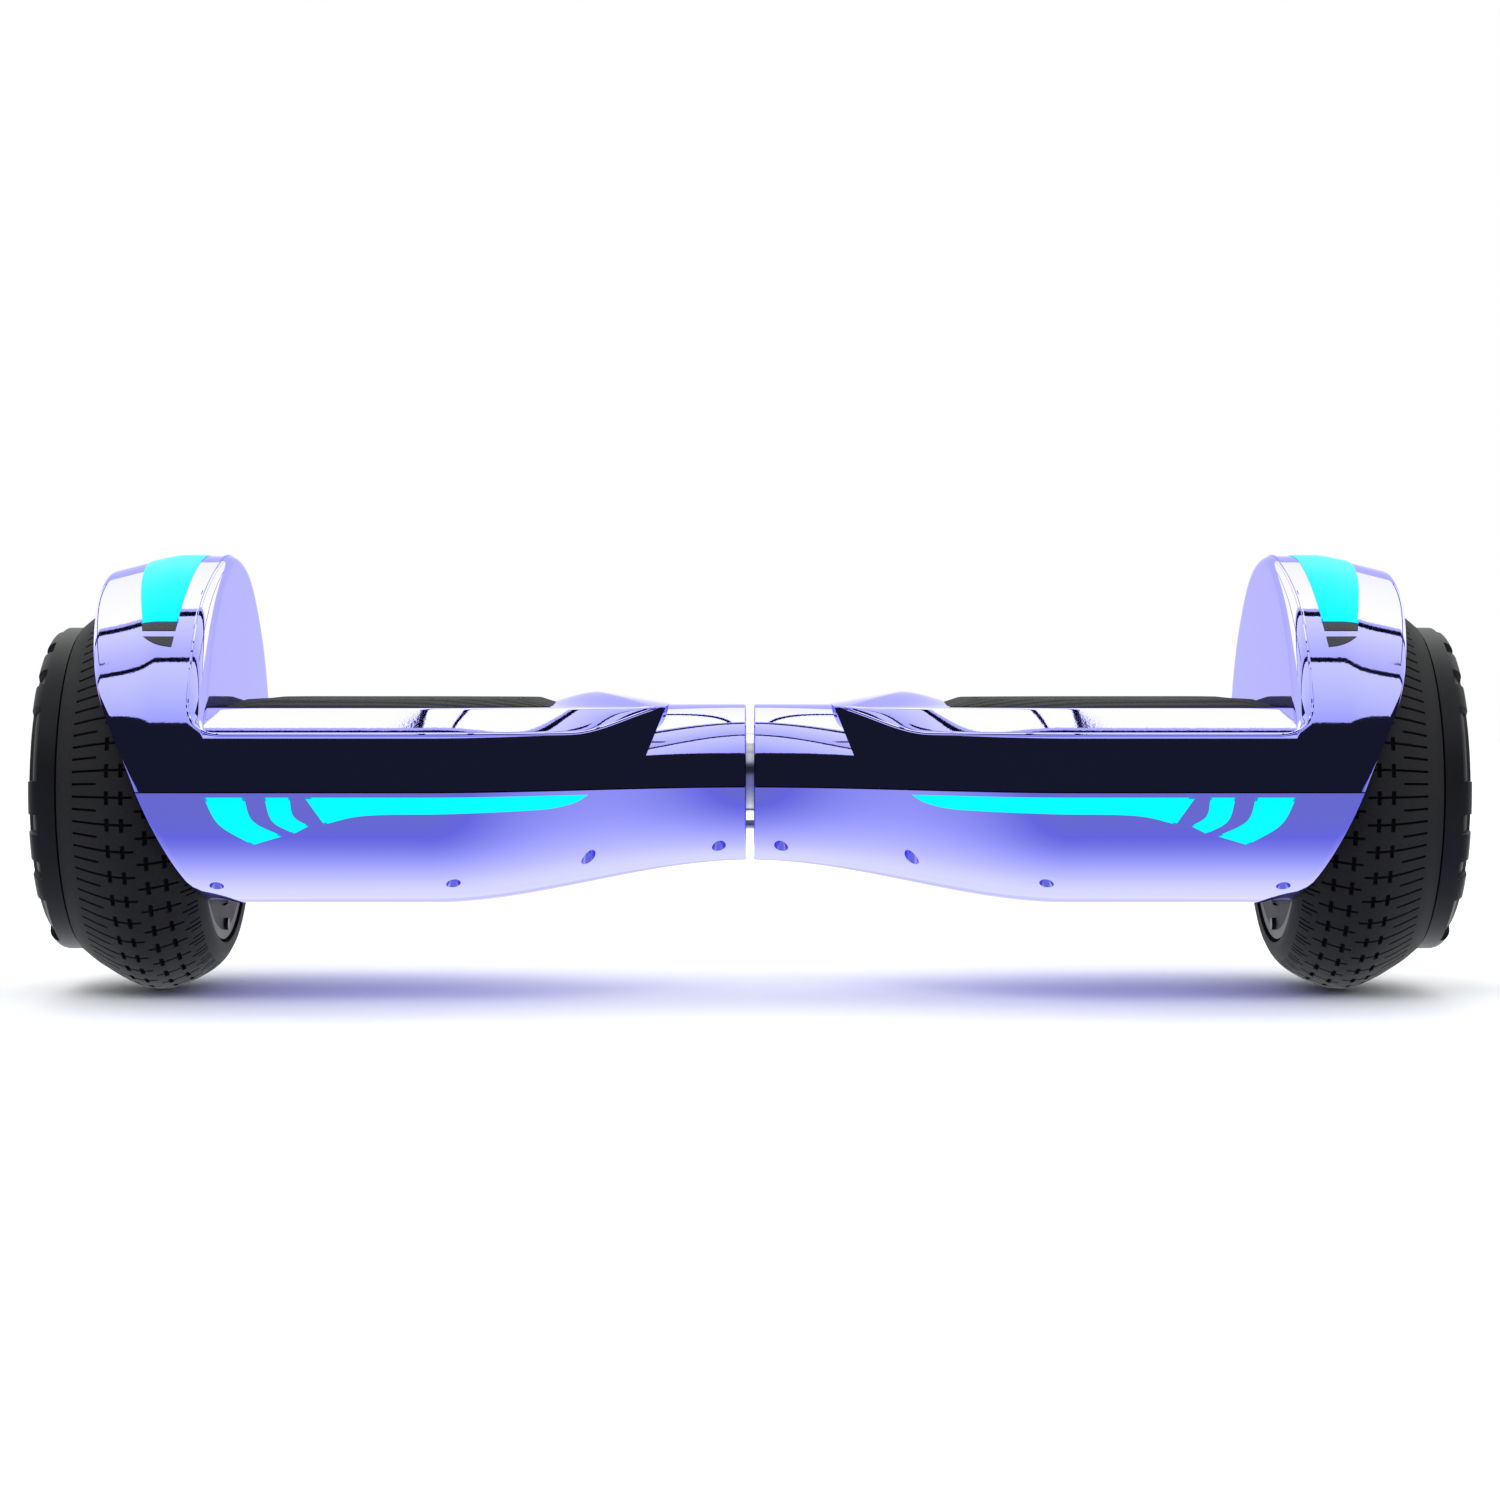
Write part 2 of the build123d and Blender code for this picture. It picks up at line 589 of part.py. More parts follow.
with BuildPart() as clamp_bolts:
    add(posts(BOLT_PLACES, BOLT_RADIUS, 74, PLATE_TOP))
    add(posts(BOLT_PLACES, BOLT_HEAD_RADIUS, BOLT_HEAD_Z, 74))
    with BuildSketch(Plane.XY.offset(BOLT_HEAD_Z)):
        with Locations(*BOLT_PLACES):
            RegularPolygon(2.3, 6)
    extrude(amount=2.5, mode=Mode.SUBTRACT)
save_both(clamp_bolts.part, "clamp_bolts")

with BuildPart() as shell_screws:
    for places, head_z, end_z in (
        (SCREW_PLACES, SCREW_HEAD_Z, SCREW_END_Z),
        (WAIST_SCREW_PLACES, WAIST_SCREW_HEAD_Z, WAIST_SCREW_END_Z),
    ):
        add(posts(places, SCREW_RADIUS, head_z, end_z))
        add(posts(places, SCREW_HEAD_RADIUS, head_z - SCREW_HEAD_HEIGHT, head_z))
        with BuildSketch(Plane.XY.offset(head_z - SCREW_HEAD_HEIGHT)):
            with Locations(*places):
                Rectangle(3.2, 0.9)
                Rectangle(0.9, 3.2)
        extrude(amount=1.5, mode=Mode.SUBTRACT)
save_both(shell_screws.part, "shell_screws")

# --- pivot ---------------------------------------------------------------------------------------------
with BuildPart() as pivot_shaft:
    add(ring(pivot_plane(-HUB_END), HUB_END + 42, SHAFT_RADIUS, SHAFT_BORE))
    add(ring(pivot_plane(37.2), 1.8, SHAFT_RADIUS + 1, SHAFT_RADIUS - 1), mode=Mode.SUBTRACT)
save(pivot_shaft.part, "pivot_shaft")

with BuildPart() as pivot_circlip:
    with BuildSketch(pivot_plane(37.2)):
        add(sector(SHAFT_RADIUS - 1, SHAFT_RADIUS + 2.3, 90, 320))
    extrude(amount=1.8)
save(pivot_circlip.part, "pivot_circlip")

with BuildPart() as limit_pin:
    with BuildSketch(pivot_plane(-20)):
        with Locations((0, -STOP_CIRCLE)):
            Circle(STOP_RADIUS)
    extrude(amount=24.5)
save(limit_pin.part, "limit_pin")

with BuildPart() as pivot_bearings:
    for start in BEARING_STARTS:
        add(ring(pivot_plane(start), BEARING_WIDTH, BEARING_OUTER, BEARING_BORE))
        for face in (start, start + BEARING_WIDTH - 0.6):  # the recessed shields
            add(ring(pivot_plane(face), 0.6, 22.0, 18.4), mode=Mode.SUBTRACT)
save(pivot_bearings.part, "pivot_bearings")

# --- wheels --------------------------------------------------------------------------------------------
with BuildPart() as tyre:
    with BuildSketch(AXLE_SECTION):
        with BuildLine():
            tread = Spline((221.5, 69), (227, 76), (237, 82), (248, TYRE_RADIUS), (258, 82.8),
                           (268, 77.8), (274, 74))
            Polyline(tread @ 1, (279.5, 69), (279.5, RIM_RADIUS), (222, RIM_RADIUS), tread @ 0)
        make_face()
    revolve(axis=AXLE_AXIS)
save_both(tyre.part, "tyre")

with BuildPart() as rim:
    add(ring(axle_plane(RIM_START), RIM_END - RIM_START, RIM_RADIUS, RIM_BORE))
    for start in (RIM_START + COVER_THICKNESS, RIM_END - COVER_THICKNESS - FLANGE_WIDTH):
        add(ring(axle_plane(start), FLANGE_WIDTH, RIM_BORE + 1, FLANGE_BORE))
        with BuildSketch(axle_plane(start)):
            with PolarLocations(HUB_SCREW_CIRCLE, HUB_SCREW_COUNT, start_angle=30):
                Circle(HUB_SCREW_RADIUS)
        extrude(amount=FLANGE_WIDTH, mode=Mode.SUBTRACT)
save_both(rim.part, "rim")

with BuildPart() as magnets:
    with BuildSketch(axle_plane(STATOR_START - 1)):
        for k in range(MAGNET_COUNT):
            add(sector(MAGNET_BORE, RIM_BORE, k * 360 / MAGNET_COUNT, 11.2))
    extrude(amount=STATOR_END - STATOR_START + 2)
save_both(magnets.part, "magnets")

with BuildPart() as stator_core:
    with BuildSketch(axle_plane(STATOR_START)):
        Circle(38)
        Circle(30, mode=Mode.SUBTRACT)
        with PolarLocations(45, TOOTH_COUNT):
            Rectangle(17, 4)
        for k in range(TOOTH_COUNT):
            add(sector(52.5, STATOR_RADIUS, k * 360 / TOOTH_COUNT, 10.4))
    extrude(amount=STATOR_END - STATOR_START)
    with BuildSketch(axle_plane(244)):
        Circle(14)
        with PolarLocations(22, 6):
            Rectangle(19, 6)
        Circle(AXLE_RADIUS, mode=Mode.SUBTRACT)
    extrude(amount=12)
save_both(stator_core.part, "stator_core")

with BuildPart() as stator_windings:
    with BuildSketch(axle_plane(STATOR_START - 3)):
        with PolarLocations(45.5, TOOTH_COUNT):
            Rectangle(11, 7.4)
    extrude(amount=STATOR_END - STATOR_START + 6)
    add(stator_core.part, mode=Mode.SUBTRACT)
save_both(stator_windings.part, "stator_windings")

with BuildPart() as wheel_axle:
    add(ring(axle_plane(AXLE_START), AXLE_END - AXLE_START, AXLE_RADIUS))
    add(ring(axle_plane(CLAMP_START), CLAMP_LENGTH, 20, AXLE_RADIUS - 4), mode=Mode.SUBTRACT)
    with BuildSketch(axle_plane(CLAMP_START)):
        Circle(AXLE_RADIUS)
        Rectangle(2 * AXLE_FLAT_HALF_WIDTH, 40, mode=Mode.INTERSECT)
    extrude(amount=CLAMP_LENGTH)
    add(ring(axle_plane(AXLE_START), 84, 3.2), mode=Mode.SUBTRACT)
    with BuildSketch(Plane.XY.offset(AXLE_Z)):
        with Locations((241, 0)):
            Circle(2.2)
    extrude(amount=20, mode=Mode.SUBTRACT)
save_both(wheel_axle.part, "wheel_axle")

with BuildPart() as motor_lead:
    add(ring(axle_plane(154), 89, 3.0))
    add(ring(axle_plane(149), 6, 5.5))
    with BuildSketch(Plane.XY.offset(AXLE_Z)):
        with Locations((241, 0)):
            Circle(1.9)
    extrude(amount=29.5)
save_both(motor_lead.part, "motor_lead")

with BuildPart() as inner_hub_cover:
    add(ring(axle_plane(RIM_START), COVER_THICKNESS, RIM_BORE - 0.1))
    add(ring(axle_plane(RIM_START), 14, 21.5))
    add(ring(axle_plane(RIM_START), 20, AXLE_RADIUS + 1.5), mode=Mode.SUBTRACT)
    add(ring(axle_plane(RIM_START + 4), 10, 17.5), mode=Mode.SUBTRACT)
    add(ring(axle_plane(RIM_START), 1.2, 50, 47), mode=Mode.SUBTRACT)
    with BuildSketch(axle_plane(RIM_START)):
        with PolarLocations(HUB_SCREW_CIRCLE, HUB_SCREW_COUNT, start_angle=30):
            Circle(HUB_SCREW_RADIUS)
    extrude(amount=COVER_THICKNESS, mode=Mode.SUBTRACT)
save_both(inner_hub_cover.part, "inner_hub_cover")

with BuildPart() as outer_hub_cover:
    add(ring(axle_plane(RIM_END - COVER_THICKNESS), COVER_THICKNESS, RIM_BORE - 0.1))
    add(ring(axle_plane(RIM_END - 16), 16, 20.5))
    add(ring(axle_plane(RIM_END - 16), 12, 16.0), mode=Mode.SUBTRACT)
    with BuildSketch(axle_plane(RIM_END - COVER_THICKNESS)):
        with PolarLocations(HUB_SCREW_CIRCLE, HUB_SCREW_COUNT, start_angle=30):
            Circle(HUB_SCREW_RADIUS)
    extrude(amount=COVER_THICKNESS, mode=Mode.SUBTRACT)
save_both(outer_hub_cover.part, "outer_hub_cover")

with BuildPart() as hub_bearings:
    for start, width, outer in ((RIM_START + 4, 10, 17.5), (RIM_END - 16, 9, 16.0)):
        add(ring(axle_plane(start), width, outer, AXLE_RADIUS + 0.05))
        for face in (start, start + width - 0.6):  # the recessed shields
            add(ring(axle_plane(face), 0.6, outer - 1.8, AXLE_RADIUS + 1.8), mode=Mode.SUBTRACT)
save_both(hub_bearings.part, "hub_bearings")

with BuildPart() as hub_screws:
    for head, shank in ((RIM_START - 1.5, RIM_START), (RIM_END, RIM_END - 9)):
        with BuildSketch(axle_plane(head)):
            with PolarLocations(HUB_SCREW_CIRCLE, HUB_SCREW_COUNT, start_angle=30):
                Circle(HUB_SCREW_HEAD)
        extrude(amount=1.5)
        with BuildSketch(axle_plane(shank)):
            with PolarLocations(HUB_SCREW_CIRCLE, HUB_SCREW_COUNT, start_angle=30):
                Circle(HUB_SCREW_RADIUS)
        extrude(amount=9)
save_both(hub_screws.part, "hub_screws")

with BuildPart() as hub_cap:
    with BuildSketch(AXLE_SECTION):
        with BuildLine():
            shoulder = RadiusArc((CAP_END, CAP_RADIUS - 7), (CAP_END - 6, CAP_RADIUS - 0.6), -6.5)
            Polyline(shoulder @ 1, (CAP_START, CAP_RADIUS), (CAP_START, 54), (RIM_END, 54), (RIM_END, 50),
                     (CAP_END - 3, 46), (CAP_END - 3, 0), (CAP_END, 0), shoulder @ 0)
        make_face()
    revolve(axis=AXLE_AXIS)
    with BuildSketch(axle_plane(CAP_END - 4)):
        for k in range(5):
            for angle, width in CAP_NOTCHES:
                add(sector(CAP_RADIUS - 4.5, CAP_RADIUS + 2, angle + 72 * k, width))
    extrude(amount=10, mode=Mode.SUBTRACT)
save_both(hub_cap.part, "hub_cap")

# --- electronics ---------------------------------------------------------------------------------------
with BuildPart() as gyro_board:
    add(box((92, 204), (-50, 50), (GYRO_BOARD_Z, GYRO_BOARD_Z + BOARD_THICKNESS)))
    for x, y in PEG_PLACES:  # the pressure switches under the pad's pegs
        add(box((x - 5, x + 5), (y - 4, y + 4), (GYRO_BOARD_Z + 1, 110.6)))
    add(box((140, 156), (-8, 8), (GYRO_BOARD_Z + 1, 109)))
    add(box((165, 175), (-6, 6), (GYRO_BOARD_Z + 1, 110)))
save_both(gyro_board.part, "gyro_board")

with BuildPart() as main_board:
    add(box((-148, -56), (-33, 33), (MAIN_BOARD_Z, MAIN_BOARD_Z + BOARD_THICKNESS)))
    add(box((-146, -116), (-16, 16), (80, MAIN_BOARD_Z)))
    for k in range(4):
        add(posts([(-108 + 12 * k, -22)], 5.0, 70, MAIN_BOARD_Z))
        add(box((-113 + 12 * k, -104 + 12 * k), (16, 28), (82, MAIN_BOARD_Z)))
save(main_board.part, "main_board")

with BuildPart() as battery_pack:
    add(box((66, 148), (-36, 36), (54, 88.5)))
    chamfer(battery_pack.edges().filter_by(Axis.X), 4)
save(battery_pack.part, "battery_pack")

with BuildPart() as battery_bracket:
    add(box((98, 114), (-38, 38), (52.5, 88.5)))
    add(battery_pack.part, mode=Mode.SUBTRACT)
save(battery_bracket.part, "battery_bracket")

with BuildPart() as pivot_wiring:
    add(ring(pivot_plane(-54), 108, 4.0))
    add(ring(pivot_plane(-54), 8, 4.4))
    add(ring(pivot_plane(46), 8, 4.4))
save(pivot_wiring.part, "pivot_wiring")

# --- back of the right half ----------------------------------------------------------------------------
with BuildPart() as charge_socket:
    add(ring(backward_plane(PORT_X, PORT_Z, SOCKET_START_Y), POCKET_Y - SOCKET_START_Y, SOCKET_RADIUS))
    add(ring(backward_plane(PORT_X, PORT_Z, POCKET_Y), SOCKET_LIP, SOCKET_RADIUS + 1.5))
    add(ring(backward_plane(PORT_X, PORT_Z, SOCKET_START_Y + 1.5), 20, SOCKET_CHAMBER), mode=Mode.SUBTRACT)
    add(ring(backward_plane(PORT_X, PORT_Z, SOCKET_BORE_Y), 20, SOCKET_BORE), mode=Mode.SUBTRACT)
    with BuildSketch(backward_plane(PORT_X, PORT_Z, SOCKET_START_Y + 1)):
        with PolarLocations(CONTACT_CIRCLE, 3, start_angle=90):
            Circle(CONTACT_RADIUS)
    extrude(amount=4)
save(charge_socket.part, "charge_socket")

with BuildPart() as charge_port_cap:
    add(ring(backward_plane(PORT_X, PORT_Z, COVER_Y), 2.0, COVER_RADIUS))
    add(box((PORT_X - 4, PORT_X + 4), (COVER_Y, COVER_Y + 2), (PORT_Z + 8, COVER_HINGE_Z)))
    with BuildSketch(Plane.YZ.offset(PORT_X - 5)):
        with Locations((COVER_Y + 1.2, COVER_HINGE_Z)):
            Circle(1.4)
    extrude(amount=10)
save(charge_port_cap.part, "charge_port_cap")

with BuildPart() as button_bezel:
    add(ring(backward_plane(BUTTON_X, BUTTON_Z, POCKET_Y), 3.0, 9.9, BUTTON_BORE))
save(button_bezel.part, "button_bezel")

with BuildPart() as power_button:
    add(ring(backward_plane(BUTTON_X, BUTTON_Z, 74), 13.5, 6.8))
    add(ring(backward_plane(BUTTON_X, BUTTON_Z, 73), 2.5, 8.6))
    add(ring(backward_plane(BUTTON_X, BUTTON_Z, 87), 1.0, 4.6, 3.6), mode=Mode.SUBTRACT)
save(power_button.part, "power_button")
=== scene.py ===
import json
import math

import bmesh
import bpy
import numpy as np
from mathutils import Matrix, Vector


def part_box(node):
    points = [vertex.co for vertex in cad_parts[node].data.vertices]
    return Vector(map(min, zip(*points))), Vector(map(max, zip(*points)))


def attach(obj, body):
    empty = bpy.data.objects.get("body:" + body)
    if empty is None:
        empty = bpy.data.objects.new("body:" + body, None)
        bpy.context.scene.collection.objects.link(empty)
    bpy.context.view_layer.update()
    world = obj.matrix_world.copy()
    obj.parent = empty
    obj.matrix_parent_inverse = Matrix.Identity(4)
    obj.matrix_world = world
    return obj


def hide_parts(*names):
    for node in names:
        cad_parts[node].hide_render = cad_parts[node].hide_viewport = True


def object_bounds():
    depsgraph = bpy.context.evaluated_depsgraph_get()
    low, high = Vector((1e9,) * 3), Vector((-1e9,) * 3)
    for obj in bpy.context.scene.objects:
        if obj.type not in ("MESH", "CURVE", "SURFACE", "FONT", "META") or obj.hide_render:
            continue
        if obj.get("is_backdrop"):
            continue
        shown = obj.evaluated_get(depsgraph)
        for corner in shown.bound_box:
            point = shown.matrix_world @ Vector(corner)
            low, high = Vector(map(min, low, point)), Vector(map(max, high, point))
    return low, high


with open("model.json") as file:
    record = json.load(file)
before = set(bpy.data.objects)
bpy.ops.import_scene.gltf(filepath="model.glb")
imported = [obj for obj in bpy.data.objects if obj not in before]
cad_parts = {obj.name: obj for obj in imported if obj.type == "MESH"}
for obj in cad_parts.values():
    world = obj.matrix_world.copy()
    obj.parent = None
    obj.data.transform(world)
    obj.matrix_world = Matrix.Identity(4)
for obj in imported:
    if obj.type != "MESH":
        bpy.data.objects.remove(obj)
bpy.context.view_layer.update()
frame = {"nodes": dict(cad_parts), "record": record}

# ---------------------------------------------------------------------------------------------------
# Sizes, in metres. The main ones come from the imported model, the rest describe the shells' surfaces.
# ---------------------------------------------------------------------------------------------------
MM = 0.001
LOWER_LOW, LOWER_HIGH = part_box("right_lower_shell")
UPPER_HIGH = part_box("right_upper_shell")[1]
PAD_LOW, PAD_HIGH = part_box("right_footpad")
CAP_LOW, CAP_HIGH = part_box("right_hub_cap")
COVER_LOW, COVER_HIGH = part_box("right_inner_hub_cover")

SPLIT_Z = LOWER_HIGH.z
WAIST_END = LOWER_LOW.x
FOOT_HALF_DEPTH = LOWER_HIGH.y
FOOT_DROP = SPLIT_Z - LOWER_LOW.z
FENDER_RISE = UPPER_HIGH.z - SPLIT_Z
AXLE_Z = (COVER_LOW.z + COVER_HIGH.z) / 2
WALL = 2.5 * MM
WALL_X = PAD_HIGH.x + 3.5 * MM  # the fender's inner wall
WAIST_HALF_DEPTH = 34 * MM
WAIST_HEIGHT = 33.6 * MM
WAIST_DROP = 32.5 * MM
WAIST_POWER = 2.5  # how square the waist's upper half is; 2 is an ellipse
FLARE_LENGTH = 130 * MM
FENDER_CROWN_X = 238 * MM
FENDER_DOME = 0.26  # how fast the fender's outer edge rounds down
FENDER_DOME_START = 6  # mm
CORNER_START = 108 * MM  # height where the fender's inner corner starts to open
CORNER_FADE = 9 * MM
CORNER_RADIUS = 6.6  # mm
CROWN_START = 160 * MM  # height above which that corner gets tighter again
CROWN_FADE = 24 * MM
FENDER_WALL_DEPTH = 88 * MM  # how far the inner wall reaches in from the crown
DECK_Z = PAD_HIGH.z - 3.3 * MM
BEVEL_Z = 109.5  # mm, lower edge of the bevel round the foot section
BEVEL_RISE = 11.5  # mm, how much that edge climbs towards the waist
BEVEL_RISE_START = 73 * MM
BEVEL_RISE_LENGTH = 45 * MM
BEVEL_INSET = 2.5  # mm, the bevel's width at the crest, seen from above
BEVEL_GROWTH = 13.5  # mm
INSET_START = 34 * MM
INSET_LENGTH = 66 * MM
CREST_X = 64 * MM
CREST_Z = 126 * MM
CREST_TIP_X = 39.5 * MM
CREST_TIP_Y = 46 * MM
CREST_TIP_Z = 119.9 * MM
CREST_END = 94 * MM  # where the rise to the crest starts from the flat deck
CREST_SLOPE = 0.174  # fall of the deck from the crest towards the waist
SLANT_POINT = (35 * MM, 0, 119 * MM)  # a point on the foot section's slanted end, towards the waist
SLANT_NORMAL = (15, 0, 6)
PAD_GAP = 0.7 * MM
PAD_POCKET_FLOOR = 117.4 * MM
PAD_UNDERSIDE = 119.3 * MM
PIVOT_Z = 91.5 * MM
HUB_HOLE = 26.5 * MM
AXLE_HOLE = 9.5 * MM
SEAM_GAP = 0.5 * MM
# Each screw's x and y, the top of its recess and the height of its head, in mm. They stand at -y too.
SCREWS = [(214, 74, 66, 72), (119, 74, 66, 72), (66, 52, 66, 72), (13, 23, 67, 70)]
KEEL_Z = 20 * MM  # below every shell surface
# The sweeping outer edge of the body, (x, z) in mm from the keel up to the fender's top.
BODY_EDGE = [(216, 34), (224, 47), (238.5, 75.8), (247, 95.6), (260.5, 127), (266.5, 160), (268, 183),
             (271, 200)]
# The back of the right half: x and z of each pocket's middle, and the hole in its floor, in mm.
POCKETS = [(150, 72, 8.0), (186, 72, 7.2)]
POCKET_RADIUS = 13 * MM
POCKET_FLOOR = 83.5 * MM
POCKET_HOLE_END = 71 * MM
POCKET_LINER_END = 79 * MM
POCKET_SQUARE = (10.5 * MM, 12.5 * MM)  # half width and top of the charge port's squared part
BEHIND = 120 * MM  # past the shell's back, for cutters
SCREW_RECESS = 2.9 * MM

SIDES = (("left", -1), ("right", 1))


def smooth(t):
    t = np.clip(t, 0, 1)
    return t * t * (3 - 2 * t)


def half_depth(x):
    return WAIST_HALF_DEPTH + (FOOT_HALF_DEPTH - WAIST_HALF_DEPTH) * smooth(x / FLARE_LENGTH)


def hull_drop(x):
    return WAIST_DROP + (FOOT_DROP - WAIST_DROP) * smooth(x / FLARE_LENGTH)


def hull_power(x):
    return 2 + smooth(x / FLARE_LENGTH)


def bevel_edge(x):
    return (BEVEL_Z + BEVEL_RISE * smooth((BEVEL_RISE_START - x) / BEVEL_RISE_LENGTH)) * MM


def bevel_inset(x):
    return (BEVEL_INSET + BEVEL_GROWTH * smooth((x - INSET_START) / INSET_LENGTH)) * MM


def deck_height(x, y):
    """The deck with its curved crest, which runs back from the middle towards the waist at both sides."""
    across = np.clip(np.abs(y) / CREST_TIP_Y, 0, 1)
    crest_x = CREST_X - (CREST_X - CREST_TIP_X) * across ** 1.6
    crest_z = CREST_Z - (CREST_Z - CREST_TIP_Z) * across ** 2
    outboard = DECK_Z + (crest_z - DECK_Z) * smooth((CREST_END - x) / (CREST_END - crest_x))
    return np.where(x < crest_x, crest_z - (crest_x - x) * CREST_SLOPE, outboard)


def catmull(points, count):
    """A smooth curve through plane points."""
    p = np.array(points, float)
    p = np.vstack([2 * p[0] - p[1], p, 2 * p[-1] - p[-2]])
    out = []
    for t in np.linspace(0, len(p) - 3 - 1e-9, count):
        i, f = int(t), t - int(t)
        a, b, c, d = p[i:i + 4]
        out.append(0.5 * (2 * b + (c - a) * f + (2 * a - 5 * b + 4 * c - d) * f * f
                          + (3 * b - a - 3 * c + d) * f ** 3))
    return np.array(out)


EDGE_CURVE = catmull(BODY_EDGE, 400) * MM


def body_edge(z):
    return np.interp(z, EDGE_CURVE[:, 1], EDGE_CURVE[:, 0])


def fender_drop(x):
    beyond = np.maximum(0, (x - FENDER_CROWN_X) / MM)
    return FENDER_DOME * beyond ** 2 / (beyond + FENDER_DOME_START) * MM


def hull_front(x, z):
    """Depth of the lower shell's surface at x and z."""
    down = np.clip((SPLIT_Z - z) / hull_drop(x), 0, 1)
    return half_depth(x) * (1 - down ** hull_power(x)) ** (1 / hull_power(x))


def hull_under(x, y):
    """Height of the lower shell's surface at x and y."""
    across = np.clip(np.abs(y) / half_depth(x), 0, 1)
    return SPLIT_Z - hull_drop(x) * (1 - across ** hull_power(x)) ** (1 / hull_power(x))


def fender_front(x, z):
    """Depth of the fender's surface at x and z."""
    drop = fender_drop(x)
    rise = (z - SPLIT_Z) / (FENDER_RISE - drop)
    return (FOOT_HALF_DEPTH - drop) * np.sqrt(np.clip(1 - rise ** 2, 0, 1))


# ---------------------------------------------------------------------------------------------------
# Mesh helpers
# ---------------------------------------------------------------------------------------------------
def grid_faces(rows, columns, start=0, close_rows=False, close_columns=False):
    faces = []
    for i in range(rows if close_rows else rows - 1):
        for j in range(columns if close_columns else columns - 1):
            k, m = (i + 1) % rows, (j + 1) % columns
            faces.append((start + i * columns + j, start + k * columns + j,
                          start + k * columns + m, start + i * columns + m))
    return faces


def make_object(name, points, faces, side=1):
    """A mesh object, mirrored for the left side, with its normals turned outward."""
    points = np.asarray(points, float).reshape(-1, 3) * (side, 1, 1)
    mesh = bpy.data.meshes.new(name)
    mesh.from_pydata(points.tolist(), [], faces)
    piece = bpy.data.objects.new(name, mesh)
    bpy.context.scene.collection.objects.link(piece)
    work = bmesh.new()
    work.from_mesh(mesh)
    bmesh.ops.remove_doubles(work, verts=work.verts, dist=0.00001)
    bmesh.ops.dissolve_degenerate(work, edges=work.edges, dist=0.000005)
    bmesh.ops.recalc_face_normals(work, faces=work.faces)
    work.to_mesh(mesh)
    work.free()
    return piece


def finish_piece(piece, body, looks, nodes=(), sharp=35):
    """Smooth shading with sharp corners, the material, the body it rides on and what it stands for."""
    mesh = piece.data
    mesh.polygons.foreach_set("use_smooth", [True] * len(mesh.polygons))
    mesh.set_sharp_from_angle(angle=math.radians(sharp))
    for look in looks if isinstance(looks, (list, tuple)) else [looks]:
        mesh.materials.append(look)
    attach(piece, body)
    if nodes:
        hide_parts(*nodes)
    return piece


def apply_modifiers(piece):
    graph = bpy.context.evaluated_depsgraph_get()
    mesh = bpy.data.meshes.new_from_object(piece.evaluated_get(graph))
    old = piece.data
    piece.modifiers.clear()
    piece.data = mesh
    bpy.data.meshes.remove(old)


def cut(piece, points, faces):
    """Takes a closed cutter away from a piece."""
    cutter = make_object("cutter", points, faces)
    modifier = piece.modifiers.new("cut", "BOOLEAN")
    modifier.object = cutter
    modifier.operation = "DIFFERENCE"
    modifier.solver = "EXACT"
    apply_modifiers(piece)
    bpy.data.objects.remove(cutter)


def prism(outline, low, high):
    """Points and faces of an upright prism."""
    n = len(outline)
    points = [(x, y, low) for x, y in outline] + [(x, y, high) for x, y in outline]
    faces = [tuple(range(n))[::-1], tuple(range(n, 2 * n))]
    faces += [(i, (i + 1) % n, n + (i + 1) % n, n + i) for i in range(n)]
    return points, faces


def circle(x, y, radius, count=32):
    return [(x + radius * math.cos(2 * math.pi * k / count), y + radius * math.sin(2 * math.pi * k / count))
            for k in range(count)]


def bezier(points, count):
    """A quadratic or cubic curve through plane points."""
    p = np.array(points, float)
    t = np.linspace(0, 1, count)[:, None]
    while len(p) > 1 and p.ndim == 2:
        p = p[:, None, :].repeat(count, 1)
    while len(p) > 1:
        p = p[:-1] * (1 - t) + p[1:] * t
    return p[0]


def rounded(corners, radius, count=5):
    """An open outline with its inner corners rounded."""
    corners = np.array(corners, float)
    path = [corners[0]]
    for before, corner, after, r in zip(corners, corners[1:], corners[2:], radius):
        a, b = before - corner, after - corner
        start = corner + a / np.linalg.norm(a) * min(r, np.linalg.norm(a) * 0.45)
        end = corner + b / np.linalg.norm(b) * min(r, np.linalg.norm(b) * 0.45)
        path.extend(bezier([start, corner, end], count))
    path.append(corners[-1])
    return np.array(path)


